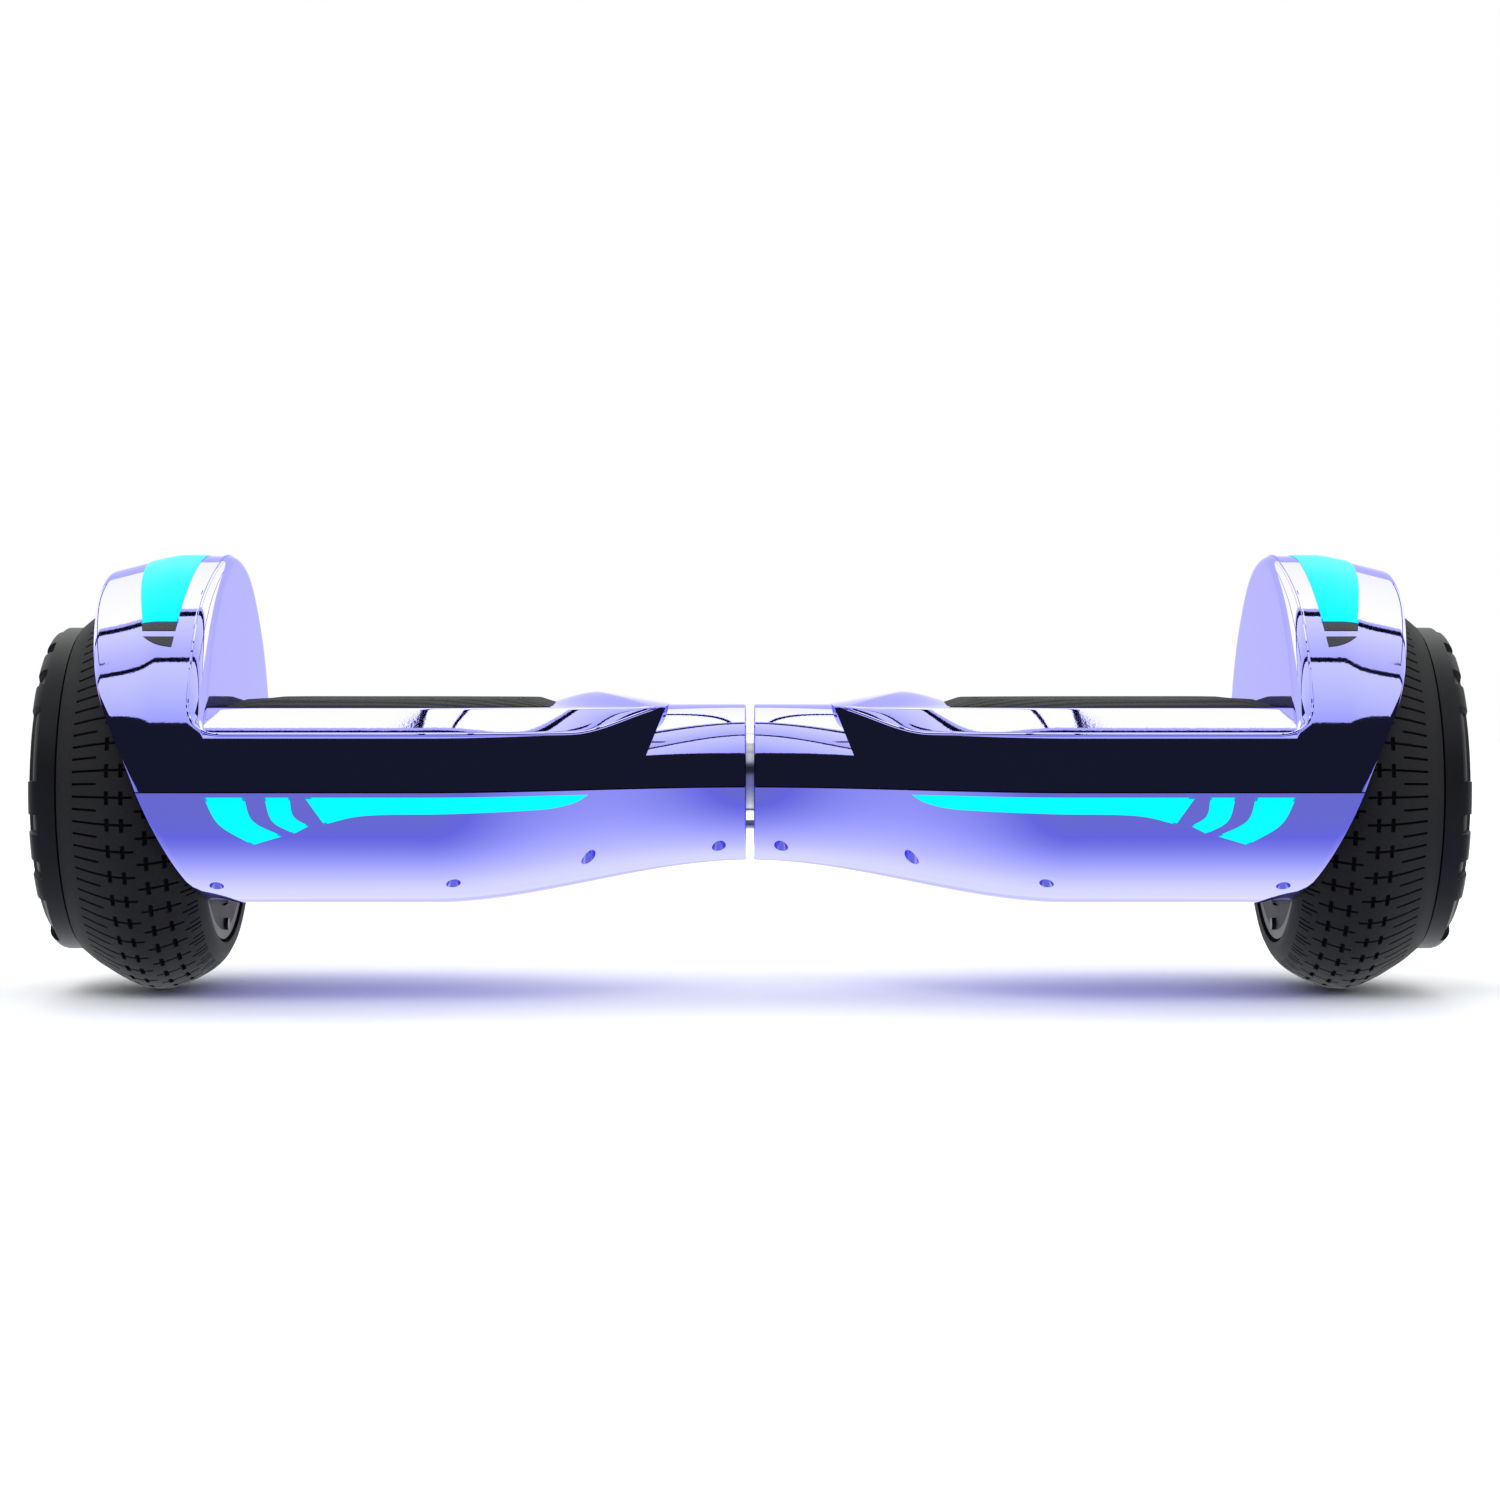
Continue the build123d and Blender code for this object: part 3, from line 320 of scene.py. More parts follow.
# ---------------------------------------------------------------------------------------------------
# Materials
# ---------------------------------------------------------------------------------------------------
def material(name, color, rough, metal=0.0, vary=0.12, scale=40.0, bump=0.0, bump_scale=400.0,
             rough_vary=0.08, emission=None, strength=0.0, specular=0.5, tint=(1, 1, 1), ribs=0.0):
    """A procedural material: colour and roughness drift with a soft noise, and a finer noise is the grain."""
    look = bpy.data.materials.new(name)
    look.use_nodes = True
    nodes, links = look.node_tree.nodes, look.node_tree.links
    shader = nodes["Principled BSDF"]
    place = nodes.new("ShaderNodeTexCoord")
    drift = nodes.new("ShaderNodeTexNoise")
    drift.inputs["Scale"].default_value = scale
    drift.inputs["Detail"].default_value = 4
    links.new(place.outputs["Object"], drift.inputs["Vector"])
    mix = nodes.new("ShaderNodeMix")
    mix.data_type = "RGBA"
    other = tuple(min(1.0, c * (1 + vary) + vary * 0.01) for c in color)
    mix.inputs["A"].default_value = (*(c * (1 - vary) for c in color), 1)
    mix.inputs["B"].default_value = (*other, 1)
    links.new(drift.outputs["Fac"], mix.inputs["Factor"])
    links.new(mix.outputs["Result"], shader.inputs["Base Color"])
    span = nodes.new("ShaderNodeMapRange")
    span.inputs["To Min"].default_value = max(0.0, rough - rough_vary)
    span.inputs["To Max"].default_value = min(1.0, rough + rough_vary)
    links.new(drift.outputs["Fac"], span.inputs["Value"])
    links.new(span.outputs["Result"], shader.inputs["Roughness"])
    shader.inputs["Metallic"].default_value = metal
    shader.inputs["Specular IOR Level"].default_value = specular
    shader.inputs["Specular Tint"].default_value = (*tint, 1)
    if bump:
        grain = nodes.new("ShaderNodeTexNoise")
        grain.inputs["Scale"].default_value = bump_scale
        grain.inputs["Detail"].default_value = 3
        links.new(place.outputs["Object"], grain.inputs["Vector"])
        raised = nodes.new("ShaderNodeBump")
        raised.inputs["Strength"].default_value = bump
        raised.inputs["Distance"].default_value = 0.0004
        height = grain.outputs["Fac"]
        if ribs:
            wave = nodes.new("ShaderNodeTexWave")
            wave.bands_direction = "Y"
            wave.inputs["Scale"].default_value = ribs
            links.new(place.outputs["Object"], wave.inputs["Vector"])
            blend = nodes.new("ShaderNodeMath")
            blend.operation = "MULTIPLY_ADD"
            blend.inputs[1].default_value = 2.5
            links.new(wave.outputs["Fac"], blend.inputs[0])
            links.new(height, blend.inputs[2])
            height = blend.outputs[0]
        links.new(height, raised.inputs["Height"])
        links.new(raised.outputs["Normal"], shader.inputs["Normal"])
    if emission:
        glow = nodes.new("ShaderNodeMix")
        glow.data_type = "RGBA"
        glow.inputs["A"].default_value = (*(c * 0.92 for c in emission), 1)
        glow.inputs["B"].default_value = (*emission, 1)
        links.new(drift.outputs["Fac"], glow.inputs["Factor"])
        links.new(glow.outputs["Result"], shader.inputs["Emission Color"])
        shader.inputs["Emission Strength"].default_value = strength
    return look


SHELL = material("violet_chrome", (0.455, 0.445, 0.98), 0.035, metal=1.0, vary=0.02, scale=14,
                 rough_vary=0.012, bump=0.012, bump_scale=900, tint=(0.70, 0.70, 1.0))
# Painted shade: the screw recesses are lined with near-black violet so the holes read dark, though the shell
# itself is chrome.
WELL_PAINTED_SHADE = material("screw_well_painted_shade", (0.03, 0.026, 0.07), 0.5, vary=0.15, scale=80, bump=0.1, specular=0.3)
LENS = material("cyan_lens", (0.0, 0.04, 0.05), 0.3, emission=(0.0, 1.0, 1.0), strength=1.0, vary=0.05,
                specular=0.05)
LENS_RIM = material("lens_rim", (0.0, 0.05, 0.2), 0.3, emission=(0.0, 0.32, 0.9), strength=0.9, vary=0.05,
                    specular=0.1)
RUBBER = material("tyre_rubber", (0.0125, 0.0125, 0.013), 0.62, vary=0.2, scale=60, bump=0.25,
                  bump_scale=1500, specular=0.13)
# Painted shade: the sipes' floors are the same rubber but are coloured far darker and given less shine, so
# the grooves read shaded.
SIPE_PAINTED_SHADE = material("tyre_sipe_painted_shade", (0.002, 0.002, 0.002), 0.9, vary=0.2, scale=60, bump=0.2, bump_scale=1500,
                specular=0.05)
PAD = material("pad_rubber", (0.018, 0.018, 0.019), 0.72, vary=0.14, scale=50, bump=0.5, bump_scale=1300,
               specular=0.14, ribs=60)
VENT = material("vent_plastic", (0.04, 0.041, 0.043), 0.5, vary=0.1, scale=80, bump=0.15, bump_scale=1200,
                specular=0.3)
HUB_CAP = material("hub_cap_plastic", (0.008, 0.008, 0.009), 0.42, vary=0.2, scale=30, bump=0.08,
                   bump_scale=900, specular=0.18)
HUB_COVER = material("hub_cover_paint", (0.014, 0.011, 0.021), 0.5, vary=0.12, scale=45, bump=0.12,
                     bump_scale=1000, specular=0.08)

SLOT_LOOKS = {
    "shell": SHELL, "light_lens": LENS, "vent_grille": VENT, "tyre": RUBBER, "pad_rubber": PAD,
    "hub_cover": HUB_COVER, "hub_cap": HUB_CAP,
    "circuit_board": material("circuit_board_green", (0.02, 0.16, 0.07), 0.4, vary=0.2, scale=90, bump=0.2),
    "cast_frame": material("cast_aluminium", (0.52, 0.53, 0.55), 0.46, metal=0.9, vary=0.1, bump=0.35,
                           bump_scale=700),
    "zinc_fastener": material("zinc_plate", (0.62, 0.63, 0.66), 0.3, metal=1.0, vary=0.08, bump=0.08),
    "black_screw": material("black_oxide", (0.04, 0.04, 0.045), 0.38, metal=0.8, vary=0.15, bump=0.1),
    "ground_steel": material("ground_steel", (0.60, 0.61, 0.63), 0.24, metal=1.0, vary=0.06, bump=0.05),
    "laminated_steel": material("laminated_steel", (0.28, 0.29, 0.31), 0.45, metal=0.9, vary=0.15, bump=0.3),
    "copper_winding": material("enamelled_copper", (0.66, 0.26, 0.10), 0.32, metal=0.85, vary=0.12, bump=0.4),
    "cable_sheath": material("cable_sheath", (0.02, 0.02, 0.02), 0.5, vary=0.15, bump=0.15),
    "cast_rim": material("anodised_rim", (0.03, 0.028, 0.036), 0.45, metal=0.5, vary=0.1, bump=0.1),
    "magnet": material("nickel_magnet", (0.55, 0.54, 0.52), 0.25, metal=1.0, vary=0.05, bump=0.05),
    "battery_wrap": material("battery_wrap", (0.02, 0.09, 0.3), 0.35, vary=0.1, bump=0.1),
    "socket_plastic": material("socket_nylon", (0.025, 0.025, 0.026), 0.5, vary=0.15, bump=0.2),
    "button_plastic": material("button_plastic", (0.035, 0.035, 0.04), 0.3, vary=0.12, bump=0.05),
    "cap_rubber": material("cap_rubber", (0.028, 0.028, 0.03), 0.6, vary=0.15, bump=0.3),
}
for entry in frame["record"]["subparts"]:
    mesh = frame["nodes"][entry["node"]].data
    mesh.materials.clear()
    mesh.materials.append(SLOT_LOOKS[entry["material_slot"]])


# ---------------------------------------------------------------------------------------------------
# Upper shell: fender, foot section and waist
# ---------------------------------------------------------------------------------------------------
def fender_corner(z):
    """Radius of the corner between the inner wall and the crown. It fades out at the bevel."""
    start = float(smooth((z - CORNER_START) / CORNER_FADE))
    crown = float(smooth((z - CROWN_START) / CROWN_FADE))
    return (0.2 + CORNER_RADIUS * start * (1 - 0.4 * crown)) * MM


def fender_points():
    """The fender as one closed profile per angle: inner wall, corner, crown, edge, and the wheel side."""
    rows = []
    for angle in np.linspace(0, math.pi, 181):
        c, s = math.cos(angle), math.sin(angle)
        corner = fender_corner(SPLIT_Z + FENDER_RISE * s)
        edge = float(body_edge(SPLIT_Z + (FENDER_RISE - 4 * MM) * s))
        outer = np.linspace(WALL_X + corner, edge - 0.8 * MM, 26)
        turn = np.linspace(math.pi / 2, 0, 10)[:-1]
        x = [WALL_X] * 9 + list(WALL_X + corner * (1 - np.sin(turn))) + list(outer)
        inset = list(np.linspace(0.93, 0.02, 9) * FENDER_WALL_DEPTH + corner)
        inset += list(corner * (1 - np.cos(turn))) + list(fender_drop(outer))
        last = fender_drop(edge)
        x += [edge - 0.2 * MM, edge, edge, edge - 0.2 * MM]
        inset += [last + 0.15 * MM, last + 0.6 * MM, last + 1.8 * MM, last + 2.3 * MM]
        back = np.linspace(edge - 1 * MM, WALL_X + WALL + 1 * MM, 14)
        x += list(back) + [WALL_X + WALL] * 3
        inset += list(fender_drop(back) + WALL) + [WALL + 1 * MM, 30 * MM, 80 * MM]
        x, inset = np.array(x), np.array(inset)
        rows.append(np.stack([x, (FOOT_HALF_DEPTH - inset) * c, SPLIT_Z + (FENDER_RISE - inset) * s], 1))
    return np.array(rows)


def wing_row(x):
    """Half of the foot section's outline at station x, from the parting plane to the middle of the deck."""
    edge, top_half = float(bevel_edge(x)), float(half_depth(x) - bevel_inset(x))
    side = [(float(half_depth(x)) * math.sqrt(1 - ((z - SPLIT_Z) / FENDER_RISE) ** 2), z)
            for z in np.linspace(SPLIT_Z, edge, 7)]
    top = (top_half, float(deck_height(x, top_half)))
    low = side[-1]
    middle = ((low[0] + top[0]) / 2 + 0.25 * MM, (low[1] + top[1]) / 2 + 0.3 * MM)
    deck_y = np.linspace(top_half, 0, 25)
    deck = [(y, float(deck_height(x, y))) for y in deck_y]
    soft = min(1.6 * MM, 0.3 * math.dist(low, top) + 0.0001)
    bevel = rounded([side[-2], low, middle], [soft])[:-1]
    crown = rounded([middle, top, deck[1]], [min(1.2 * MM, soft)])[1:-1]
    return np.array([*side[:-1], *bevel[1:], middle, *crown, *deck[1:]])


def foot_section(name, side):
    """The part under the foot, closed, with its slanted end and the recess for the pad."""
    stations = np.concatenate([np.linspace(30, 100, 71), np.linspace(102, 222, 41)]) * MM
    rows = []
    for x in stations:
        half = wing_row(x)
        whole = np.concatenate([half, half[-2::-1] * (-1, 1)])
        rows.append([(x, y, z) for y, z in whole])
    rows = np.array(rows)
    count, columns = rows.shape[:2]
    faces = grid_faces(count, columns)
    faces += [tuple(range(columns)), tuple(range((count - 1) * columns, count * columns))]
    faces += [(i * columns, i * columns + columns - 1, (i + 1) * columns + columns - 1, (i + 1) * columns)
              for i in range(count - 1)]
    foot = make_object(f"{name}_foot_section", rows, faces, side)
    work = bmesh.new()
    work.from_mesh(foot.data)
    bmesh.ops.bisect_plane(work, geom=[*work.verts, *work.edges, *work.faces],
                           plane_co=Vector(SLANT_POINT) * Vector((side, 1, 1)),
                           plane_no=Vector(SLANT_NORMAL) * Vector((side, 1, 1)), clear_inner=True)
    bmesh.ops.holes_fill(work, edges=[e for e in work.edges if e.is_boundary], sides=0)
    bmesh.ops.recalc_face_normals(work, faces=work.faces)
    work.to_mesh(foot.data)
    work.free()
    recess = [(x * side, y) for x, y in pad_outline(PAD_GAP)]
    cut(foot, *prism(recess, PAD_POCKET_FLOOR, PAD_POCKET_FLOOR + 22.6 * MM))
    return foot


def waist_skin(name, side):
    """The narrow middle, down to the rounded rim round the pivot."""
    rows = []
    turn = np.linspace(0, math.pi, 61)
    c, s = np.cos(turn), np.clip(np.sin(turn), 0, 1)
    for x in np.linspace(WAIST_END, 70 * MM, 60):
        across = half_depth(x) * np.sign(c) * np.abs(c) ** (2 / WAIST_POWER)
        rows.append(np.stack([np.full(61, x), across, SPLIT_Z + WAIST_HEIGHT * s ** (2 / WAIST_POWER)], 1))
    rim = rows[0].copy()
    rim[:, 1] *= HUB_HOLE / WAIST_HALF_DEPTH
    rim[:, 2] = np.maximum(SPLIT_Z, PIVOT_Z + HUB_HOLE * np.sin(turn))
    soft = rows[0].copy()
    rows[0] = soft + (0.5 * MM, 0, 0)
    soft[:, 1] *= 0.985
    soft[:, 2] = SPLIT_Z + (soft[:, 2] - SPLIT_Z) * 0.985
    inner = rim + (4 * MM, 0, 0)
    rows = np.array([inner, rim, soft, *rows])
    return make_object(f"{name}_waist_skin", rows, grid_faces(*rows.shape[:2]), side)


def upper_shell(name, side):
    rows = fender_points()
    fender = make_object(f"{name}_fender_skin", rows, grid_faces(*rows.shape[:2]), side)
    return fender, foot_section(name, side), waist_skin(name, side)


# ---------------------------------------------------------------------------------------------------
# Lower shell
# ---------------------------------------------------------------------------------------------------
def lower_shell(name, side):
    """One closed profile per angle: waist end, hull, sweeping edge and the wheel side."""
    top = SPLIT_Z - SEAM_GAP
    rows = []
    for turn in np.linspace(0, math.pi, 97):
        c, s = math.cos(turn), math.sin(turn)

        def skin(x, inset):
            power = 2 / hull_power(x)
            y = (half_depth(x) - inset) * abs(c) ** power * (1 if c >= 0 else -1)
            return (x, y, top - (hull_drop(x) - SEAM_GAP - inset) * s ** power)

        edge = WALL_X
        for _ in range(8):  # the edge depends on the height, which depends on the edge
            edge = float(body_edge(skin(edge, 0)[2]))
        rim = (WAIST_END, HUB_HOLE * c, min(top, PIVOT_Z - HUB_HOLE * s))
        row = [(WAIST_END + 4 * MM, rim[1], rim[2]), rim, skin(WAIST_END, 0.5 * MM),
               skin(WAIST_END + 0.5 * MM, 0)]
        row[2] = (WAIST_END, *row[2][1:])
        row += [skin(x, 0) for x in np.linspace(WAIST_END + 2 * MM, edge - 1 * MM, 110)]
        row += [skin(edge - 0.2 * MM, 0.15 * MM), skin(edge, 0.6 * MM), skin(edge, 1.8 * MM),
                skin(edge - 0.2 * MM, 2.3 * MM)]
        inner = max(edge - 1 * MM, WALL_X + WALL + 0.5 * MM)
        row += [skin(x, WALL) for x in np.linspace(inner, WALL_X + WALL + 0.4 * MM, 8)]
        wall_x = WALL_X + WALL
        deep = skin(wall_x, WALL + 0.5 * MM)
        hole = (AXLE_HOLE * c, AXLE_Z - AXLE_HOLE * s)
        row += [deep] + [(wall_x, deep[1] * k + hole[0] * (1 - k), deep[2] * k + hole[1] * (1 - k))
                         for k in (0.66, 0.33, 0.0)]
        rows.append(row)
    rows = np.array(rows)
    hull = make_object(f"{name}_lower_skin", rows, grid_faces(*rows.shape[:2]), side)
    for x, y, top, _ in SCREWS:
        for end in (-1, 1):
            cut(hull, *prism(circle(side * x * MM, end * y * MM, SCREW_RECESS), KEEL_Z, top * MM))
    if side > 0:
        for x, z, hole in POCKETS:
            for outline, floor in ((pocket_outline(x, z), POCKET_FLOOR),
                                   (circle(x * MM, z * MM, hole * MM), POCKET_HOLE_END)):
                points, faces = prism(outline, floor, BEHIND)
                cut(hull, [(a, c, b) for a, b, c in points], faces)
    return hull


def pocket_outline(x, z):
    """A round pocket; the charge port's has a squared top, where its cover hinges."""
    outline = []
    for angle in np.linspace(0, 2 * math.pi, 72, endpoint=False):
        c, s = math.cos(angle), math.sin(angle)
        radius = POCKET_RADIUS
        if x == POCKETS[0][0] and s > 0.1:
            radius = max(radius, min(POCKET_SQUARE[0] / max(abs(c), 0.01), POCKET_SQUARE[1] / s))
        outline.append((x * MM + radius * c, z * MM + radius * s))
    return outline


def pocket_liner(name, x, z, hole):
    """The wall and floor of a pocket."""
    outline = np.array(pocket_outline(x, z))
    middle = np.array([x, z]) * MM
    away = outline - middle
    away /= np.linalg.norm(away, axis=1, keepdims=True)
    rim = hull_front(outline[:, 0], outline[:, 1])
    rows = [np.column_stack([outline[:, 0], rim - 0.1 * MM, outline[:, 1]])]
    for ring, y in ((outline, POCKET_FLOOR + 0.8 * MM), (outline - away * 0.8 * MM, POCKET_FLOOR),
                    (middle + away * (hole * MM + 0.1 * MM), POCKET_FLOOR),
                    (middle + away * hole * MM, POCKET_LINER_END)):
        rows.append(np.column_stack([ring[:, 0], np.full(len(ring), y), ring[:, 1]]))
    rows = np.array(rows)
    return make_object(name, rows, grid_faces(*rows.shape[:2], close_columns=True))


def screw_wells(name, side):
    """Tubes up to the screw heads, in a near-black material that paints the shade deep inside the recesses.
    """
    points, faces = [], []
    for x, y, _, head in SCREWS:
        for end in (-1, 1):
            outline = circle(x * MM, end * y * MM, SCREW_RECESS + 0.05 * MM)
            faces += grid_faces(2, len(outline), len(points), close_columns=True)
            points += [(a, b, hull_under(a, b) + 0.3 * MM) for a, b in outline]
            points += [(a, b, head * MM) for a, b in outline]
    return make_object(name, points, faces, side)


def tube(name, path, radius, side, count=8):
    """A thin round bead along a path."""
    path = np.array(path)
    rows = []
    for k, centre in enumerate(path):
        along = path[min(k + 1, len(path) - 1)] - path[max(k - 1, 0)]
        along /= np.linalg.norm(along)
        across = np.cross(along, (0.3, 0.5, 0.8))
        across /= np.linalg.norm(across)
        up = np.cross(along, across)
        r = radius * (0.15 if k in (0, len(path) - 1) else 1)
        rows.append([centre + r * (across * math.cos(a) + up * math.sin(a))
                     for a in np.linspace(0, 2 * math.pi, count, endpoint=False)])
    rows = np.array(rows)
    return make_object(name, rows, grid_faces(*rows.shape[:2], close_columns=True), side)


def bead(name, side):
    """The raised line along the bevel's lower edge, which turns up round the fender's inner corner."""
    path = []
    for x in np.linspace(38 * MM, WALL_X - 9 * MM, 90):
        edge = float(bevel_edge(x))
        path.append((x, -float(half_depth(x)) * math.sqrt(1 - ((edge - SPLIT_Z) / FENDER_RISE) ** 2), edge))
    bend = bezier([(WALL_X - 8 * MM, BEVEL_Z * MM), (WALL_X + 5.6 * MM, BEVEL_Z * MM),
                   (WALL_X + 6.8 * MM, 121 * MM)], 16)
    for x, z in bend:
        path.append((x, -FOOT_HALF_DEPTH * math.sqrt(1 - ((z - SPLIT_Z) / FENDER_RISE) ** 2), z))
    start = math.asin((122 * MM - SPLIT_Z) / FENDER_RISE)
    for angle in np.linspace(start, math.pi - start, 120):
        s = math.sin(angle)
        path.append((WALL_X + fender_corner(SPLIT_Z + FENDER_RISE * s), -FOOT_HALF_DEPTH * math.cos(angle),
                     SPLIT_Z + FENDER_RISE * s))
    half = [p for p in path if p[1] <= 0]
    return tube(name, half + [(x, -y, z) for x, y, z in reversed(half)], 0.55 * MM, side)


def pad_outline(grow):
    """The foot pad's outline, made larger or smaller by grow."""
    outer, inner, half = PAD_HIGH.x, PAD_LOW.x, PAD_HIGH.y
    corners = [(inner, 0), (inner, 50 * MM), (124 * MM, half), (outer - 9 * MM, half), (outer, 60 * MM),
               (outer, 0)]
    path = rounded(corners, [14 * MM, 30 * MM, 7 * MM, 7 * MM], 7)
    centre = np.array([(inner + outer) / 2, 0])
    span = np.array([(outer - inner) / 2, half])
    path = centre + (path - centre) * (1 + grow / span)
    return [tuple(p) for p in path] + [(x, -y) for x, y in path[-2:0:-1]]


for label, side in SIDES:
    shells = upper_shell(label, side)
    for part in shells:
        finish_piece(part, f"{label}_half", SHELL, [f"{label}_upper_shell"], sharp=32)
    for part in (lower_shell(label, side), bead(f"{label}_edge_bead", side)):
        finish_piece(part, f"{label}_half", SHELL, [f"{label}_lower_shell"], sharp=32)
    finish_piece(screw_wells(f"{label}_screw_wells", side), f"{label}_half", WELL_PAINTED_SHADE,
                 [f"{label}_lower_shell"])
for name, (x, z, hole) in zip(("port_pocket", "button_pocket"), POCKETS):
    finish_piece(pocket_liner(name, x, z, hole), "right_half", SHELL, ["right_lower_shell"])

# ---------------------------------------------------------------------------------------------------
# Lights and vents: thin patches that follow the shells
# ---------------------------------------------------------------------------------------------------
LENS_EDGES = [  # outer and inner edge of each window, (x, z) in mm, as curves from the top down
    ([(216, 84.8), (210, 74), (197, 66)], [(200, 84.8), (196.5, 75.5), (185, 69.5)]),
    ([(192, 84.8), (189, 75.5), (180.5, 70.5)], [(182, 84.8), (180.5, 77.5), (174.5, 73.5)]),
]
STRIP_TOP = [(176, 84.8), (148, 84.8), (120, 84.8), (92, 84.8), (78, 84.8), (70, 84.8), (65.5, 84.8)]
STRIP_LOW = [(168.5, 74.2), (152, 77.6), (120, 78.2), (92, 78.9), (79, 79.7), (70.5, 81.8), (65.9, 84.5)]
LIGHT_EDGES = ([(253, 186), (250, 172), (245.5, 156)], [(228, 186), (229, 170), (230.5, 156)])
VENT_EDGES = [  # upper and lower edge of each vent bar
    ([(245.3, 154.4), (230.6, 154.4)], [(244.6, 150.9), (231, 150.9)]),
    ([(243.8, 148.6), (231.3, 148.6)], [(243.6, 148.4), (240, 146.3), (236, 145), (231.8, 144.4)]),
]


def patch(name, first, second, surface, side, end=-1, raised=0.45 * MM, across=9):
    """A window between two edge curves, standing a little out of the shell, with a rounded border."""
    t = np.concatenate([[0, 0, 0.05], np.linspace(0.09, 0.91, across), [0.95, 1, 1]])
    grid = first[:, None] * (1 - t[None, :, None]) + second[:, None] * t[None, :, None]
    grid = np.concatenate([grid[:1], grid, grid[-1:]])
    height = np.full(grid.shape[:2], raised)
    height[:, 1], height[:, -2] = raised * 0.5, raised * 0.5
    height[1], height[-2] = raised * 0.5, raised * 0.5
    height[:, 0], height[:, -1], height[0], height[-1] = -0.4 * MM, -0.4 * MM, -0.4 * MM, -0.4 * MM
    x, z = grid[..., 0] * MM, grid[..., 1] * MM
    y = surface(x, z)
    dy_dz = (surface(x, z + 0.1 * MM) - surface(x, z - 0.1 * MM)) / (0.2 * MM)
    dy_dx = (surface(x + 0.1 * MM, z) - surface(x - 0.1 * MM, z)) / (0.2 * MM)
    length = np.sqrt(1 + dy_dz ** 2 + dy_dx ** 2)
    points = [x - dy_dx / length * height, end * (y + height / length), z - dy_dz / length * height]
    return bordered(name, np.stack(points, -1), side)


def bordered(name, points, side):
    """A window whose border takes the second material."""
    faces = grid_faces(*points.shape[:2])
    glow = np.ones(points.shape[:2], bool)
    glow[:, :2], glow[:, -2:], glow[:2], glow[-2:] = False, False, False, False
    glow = glow.reshape(-1)
    mesh = bpy.data.meshes.new(name)
    mesh.from_pydata((points.reshape(-1, 3) * (side, 1, 1)).tolist(), [], faces)
    mesh.polygons.foreach_set("material_index", [int(sum(glow[i] for i in face) < 2) for face in faces])
    piece = bpy.data.objects.new(name, mesh)
    bpy.context.scene.collection.objects.link(piece)
    work = bmesh.new()
    work.from_mesh(mesh)
    bmesh.ops.recalc_face_normals(work, faces=work.faces)
    middle = work.faces[:][len(work.faces) // 2]
    across = points[..., 1].mean()
    outward = Vector((0, 0, 1)) if abs(across) < 0.02 else Vector((0, across, 0))
    if middle.normal.dot(outward) < 0:
        bmesh.ops.reverse_faces(work, faces=work.faces)
    work.to_mesh(mesh)
    work.free()
    return piece


def fender_light(name, side):
    """The band of light over the crown, from the front to the back."""
    rows = []
    for angle in np.linspace(math.radians(44.5), math.radians(135.5), 91):
        height = SPLIT_Z / MM + (FENDER_RISE / MM - 1) * math.sin(angle)
        out, inn = (np.interp(height, [156, 172, 186], [p[0] for p in edge[::-1]]) for edge in LIGHT_EDGES)
        t = np.array([0, 0, 0.03, *np.linspace(0.1, 0.9, 8), 0.97, 1, 1])
        x = (inn * (1 - t) + out * t) * MM
        lift = np.full(len(t), 0.45 * MM)
        lift[[1, -2]] = 0.2 * MM
        lift[[0, -1]] = -0.4 * MM
        inset = fender_drop(x) - lift
        rows.append(np.stack([x, (FOOT_HALF_DEPTH - inset) * math.cos(angle),
                              SPLIT_Z + (FENDER_RISE - inset) * math.sin(angle)], 1))
    rows = np.array(rows)
    centre = np.array([0, 0, SPLIT_Z])
    first, last = ((rows[k] - centre) * 0.994 + centre for k in (0, -1))
    return bordered(name, np.concatenate([[first], rows, [last]]), side)


for label, side in SIDES:
    windows = [(catmull(a, 15), catmull(b, 15)) for a, b in LENS_EDGES]
    windows.append((catmull(STRIP_TOP, 70), catmull(STRIP_LOW, 70)))
    for number, (outer, inner) in enumerate(windows):
        lens = patch(f"{label}_headlight_window_{number + 1}", outer, inner, hull_front, side)
        finish_piece(lens, f"{label}_half", [LENS, LENS_RIM], [f"{label}_headlight_lens"],
                     sharp=60)
    light = fender_light(f"{label}_fender_window", side)
    finish_piece(light, f"{label}_half", [LENS, LENS_RIM], [f"{label}_fender_light_lens"],
                 sharp=60)
    for end, place in ((-1, "front"), (1, "back")):
        for number, (high, low) in enumerate(VENT_EDGES):
            vent = patch(f"{label}_{place}_vent_{number + 1}", catmull(high, 9), catmull(low, 9),
                         fender_front, side, end, raised=0.35 * MM, across=5)
            finish_piece(vent, f"{label}_half", VENT, [f"{label}_fender_vents"], sharp=60)


# ---------------------------------------------------------------------------------------------------
# Tyres, with their sipes cut into the tread
# ---------------------------------------------------------------------------------------------------
PITCHES = 48
PITCH_STEPS = [0, .015, .085, .10, .25, .265, .315, .33, .5, .515, .585, .6, .75, .765, .815, .83]
SIPE_DEPTH = 1.1 * MM
BEAD_RADIUS = 65.5 * MM
BEAD_X = (279.3, 222)
OUTER_ROWS = (249.5, 255.5)
INNER_ROWS = (233.8, 240.6)
ROW_WIDTH = 1.6
PROFILE_X = [221.5, 223.5, 227, 232, 237, 243, 249, 254, 259, 264, 269, 274, 279.3]
PROFILE_R = [69, 72.6, 76.3, 79.6, 82, 84.2, 85, 84.3, 82.5, 80, 77, 73.8, 69.5]


TREAD_CURVE = catmull(list(zip(PROFILE_X, PROFILE_R)), 300)


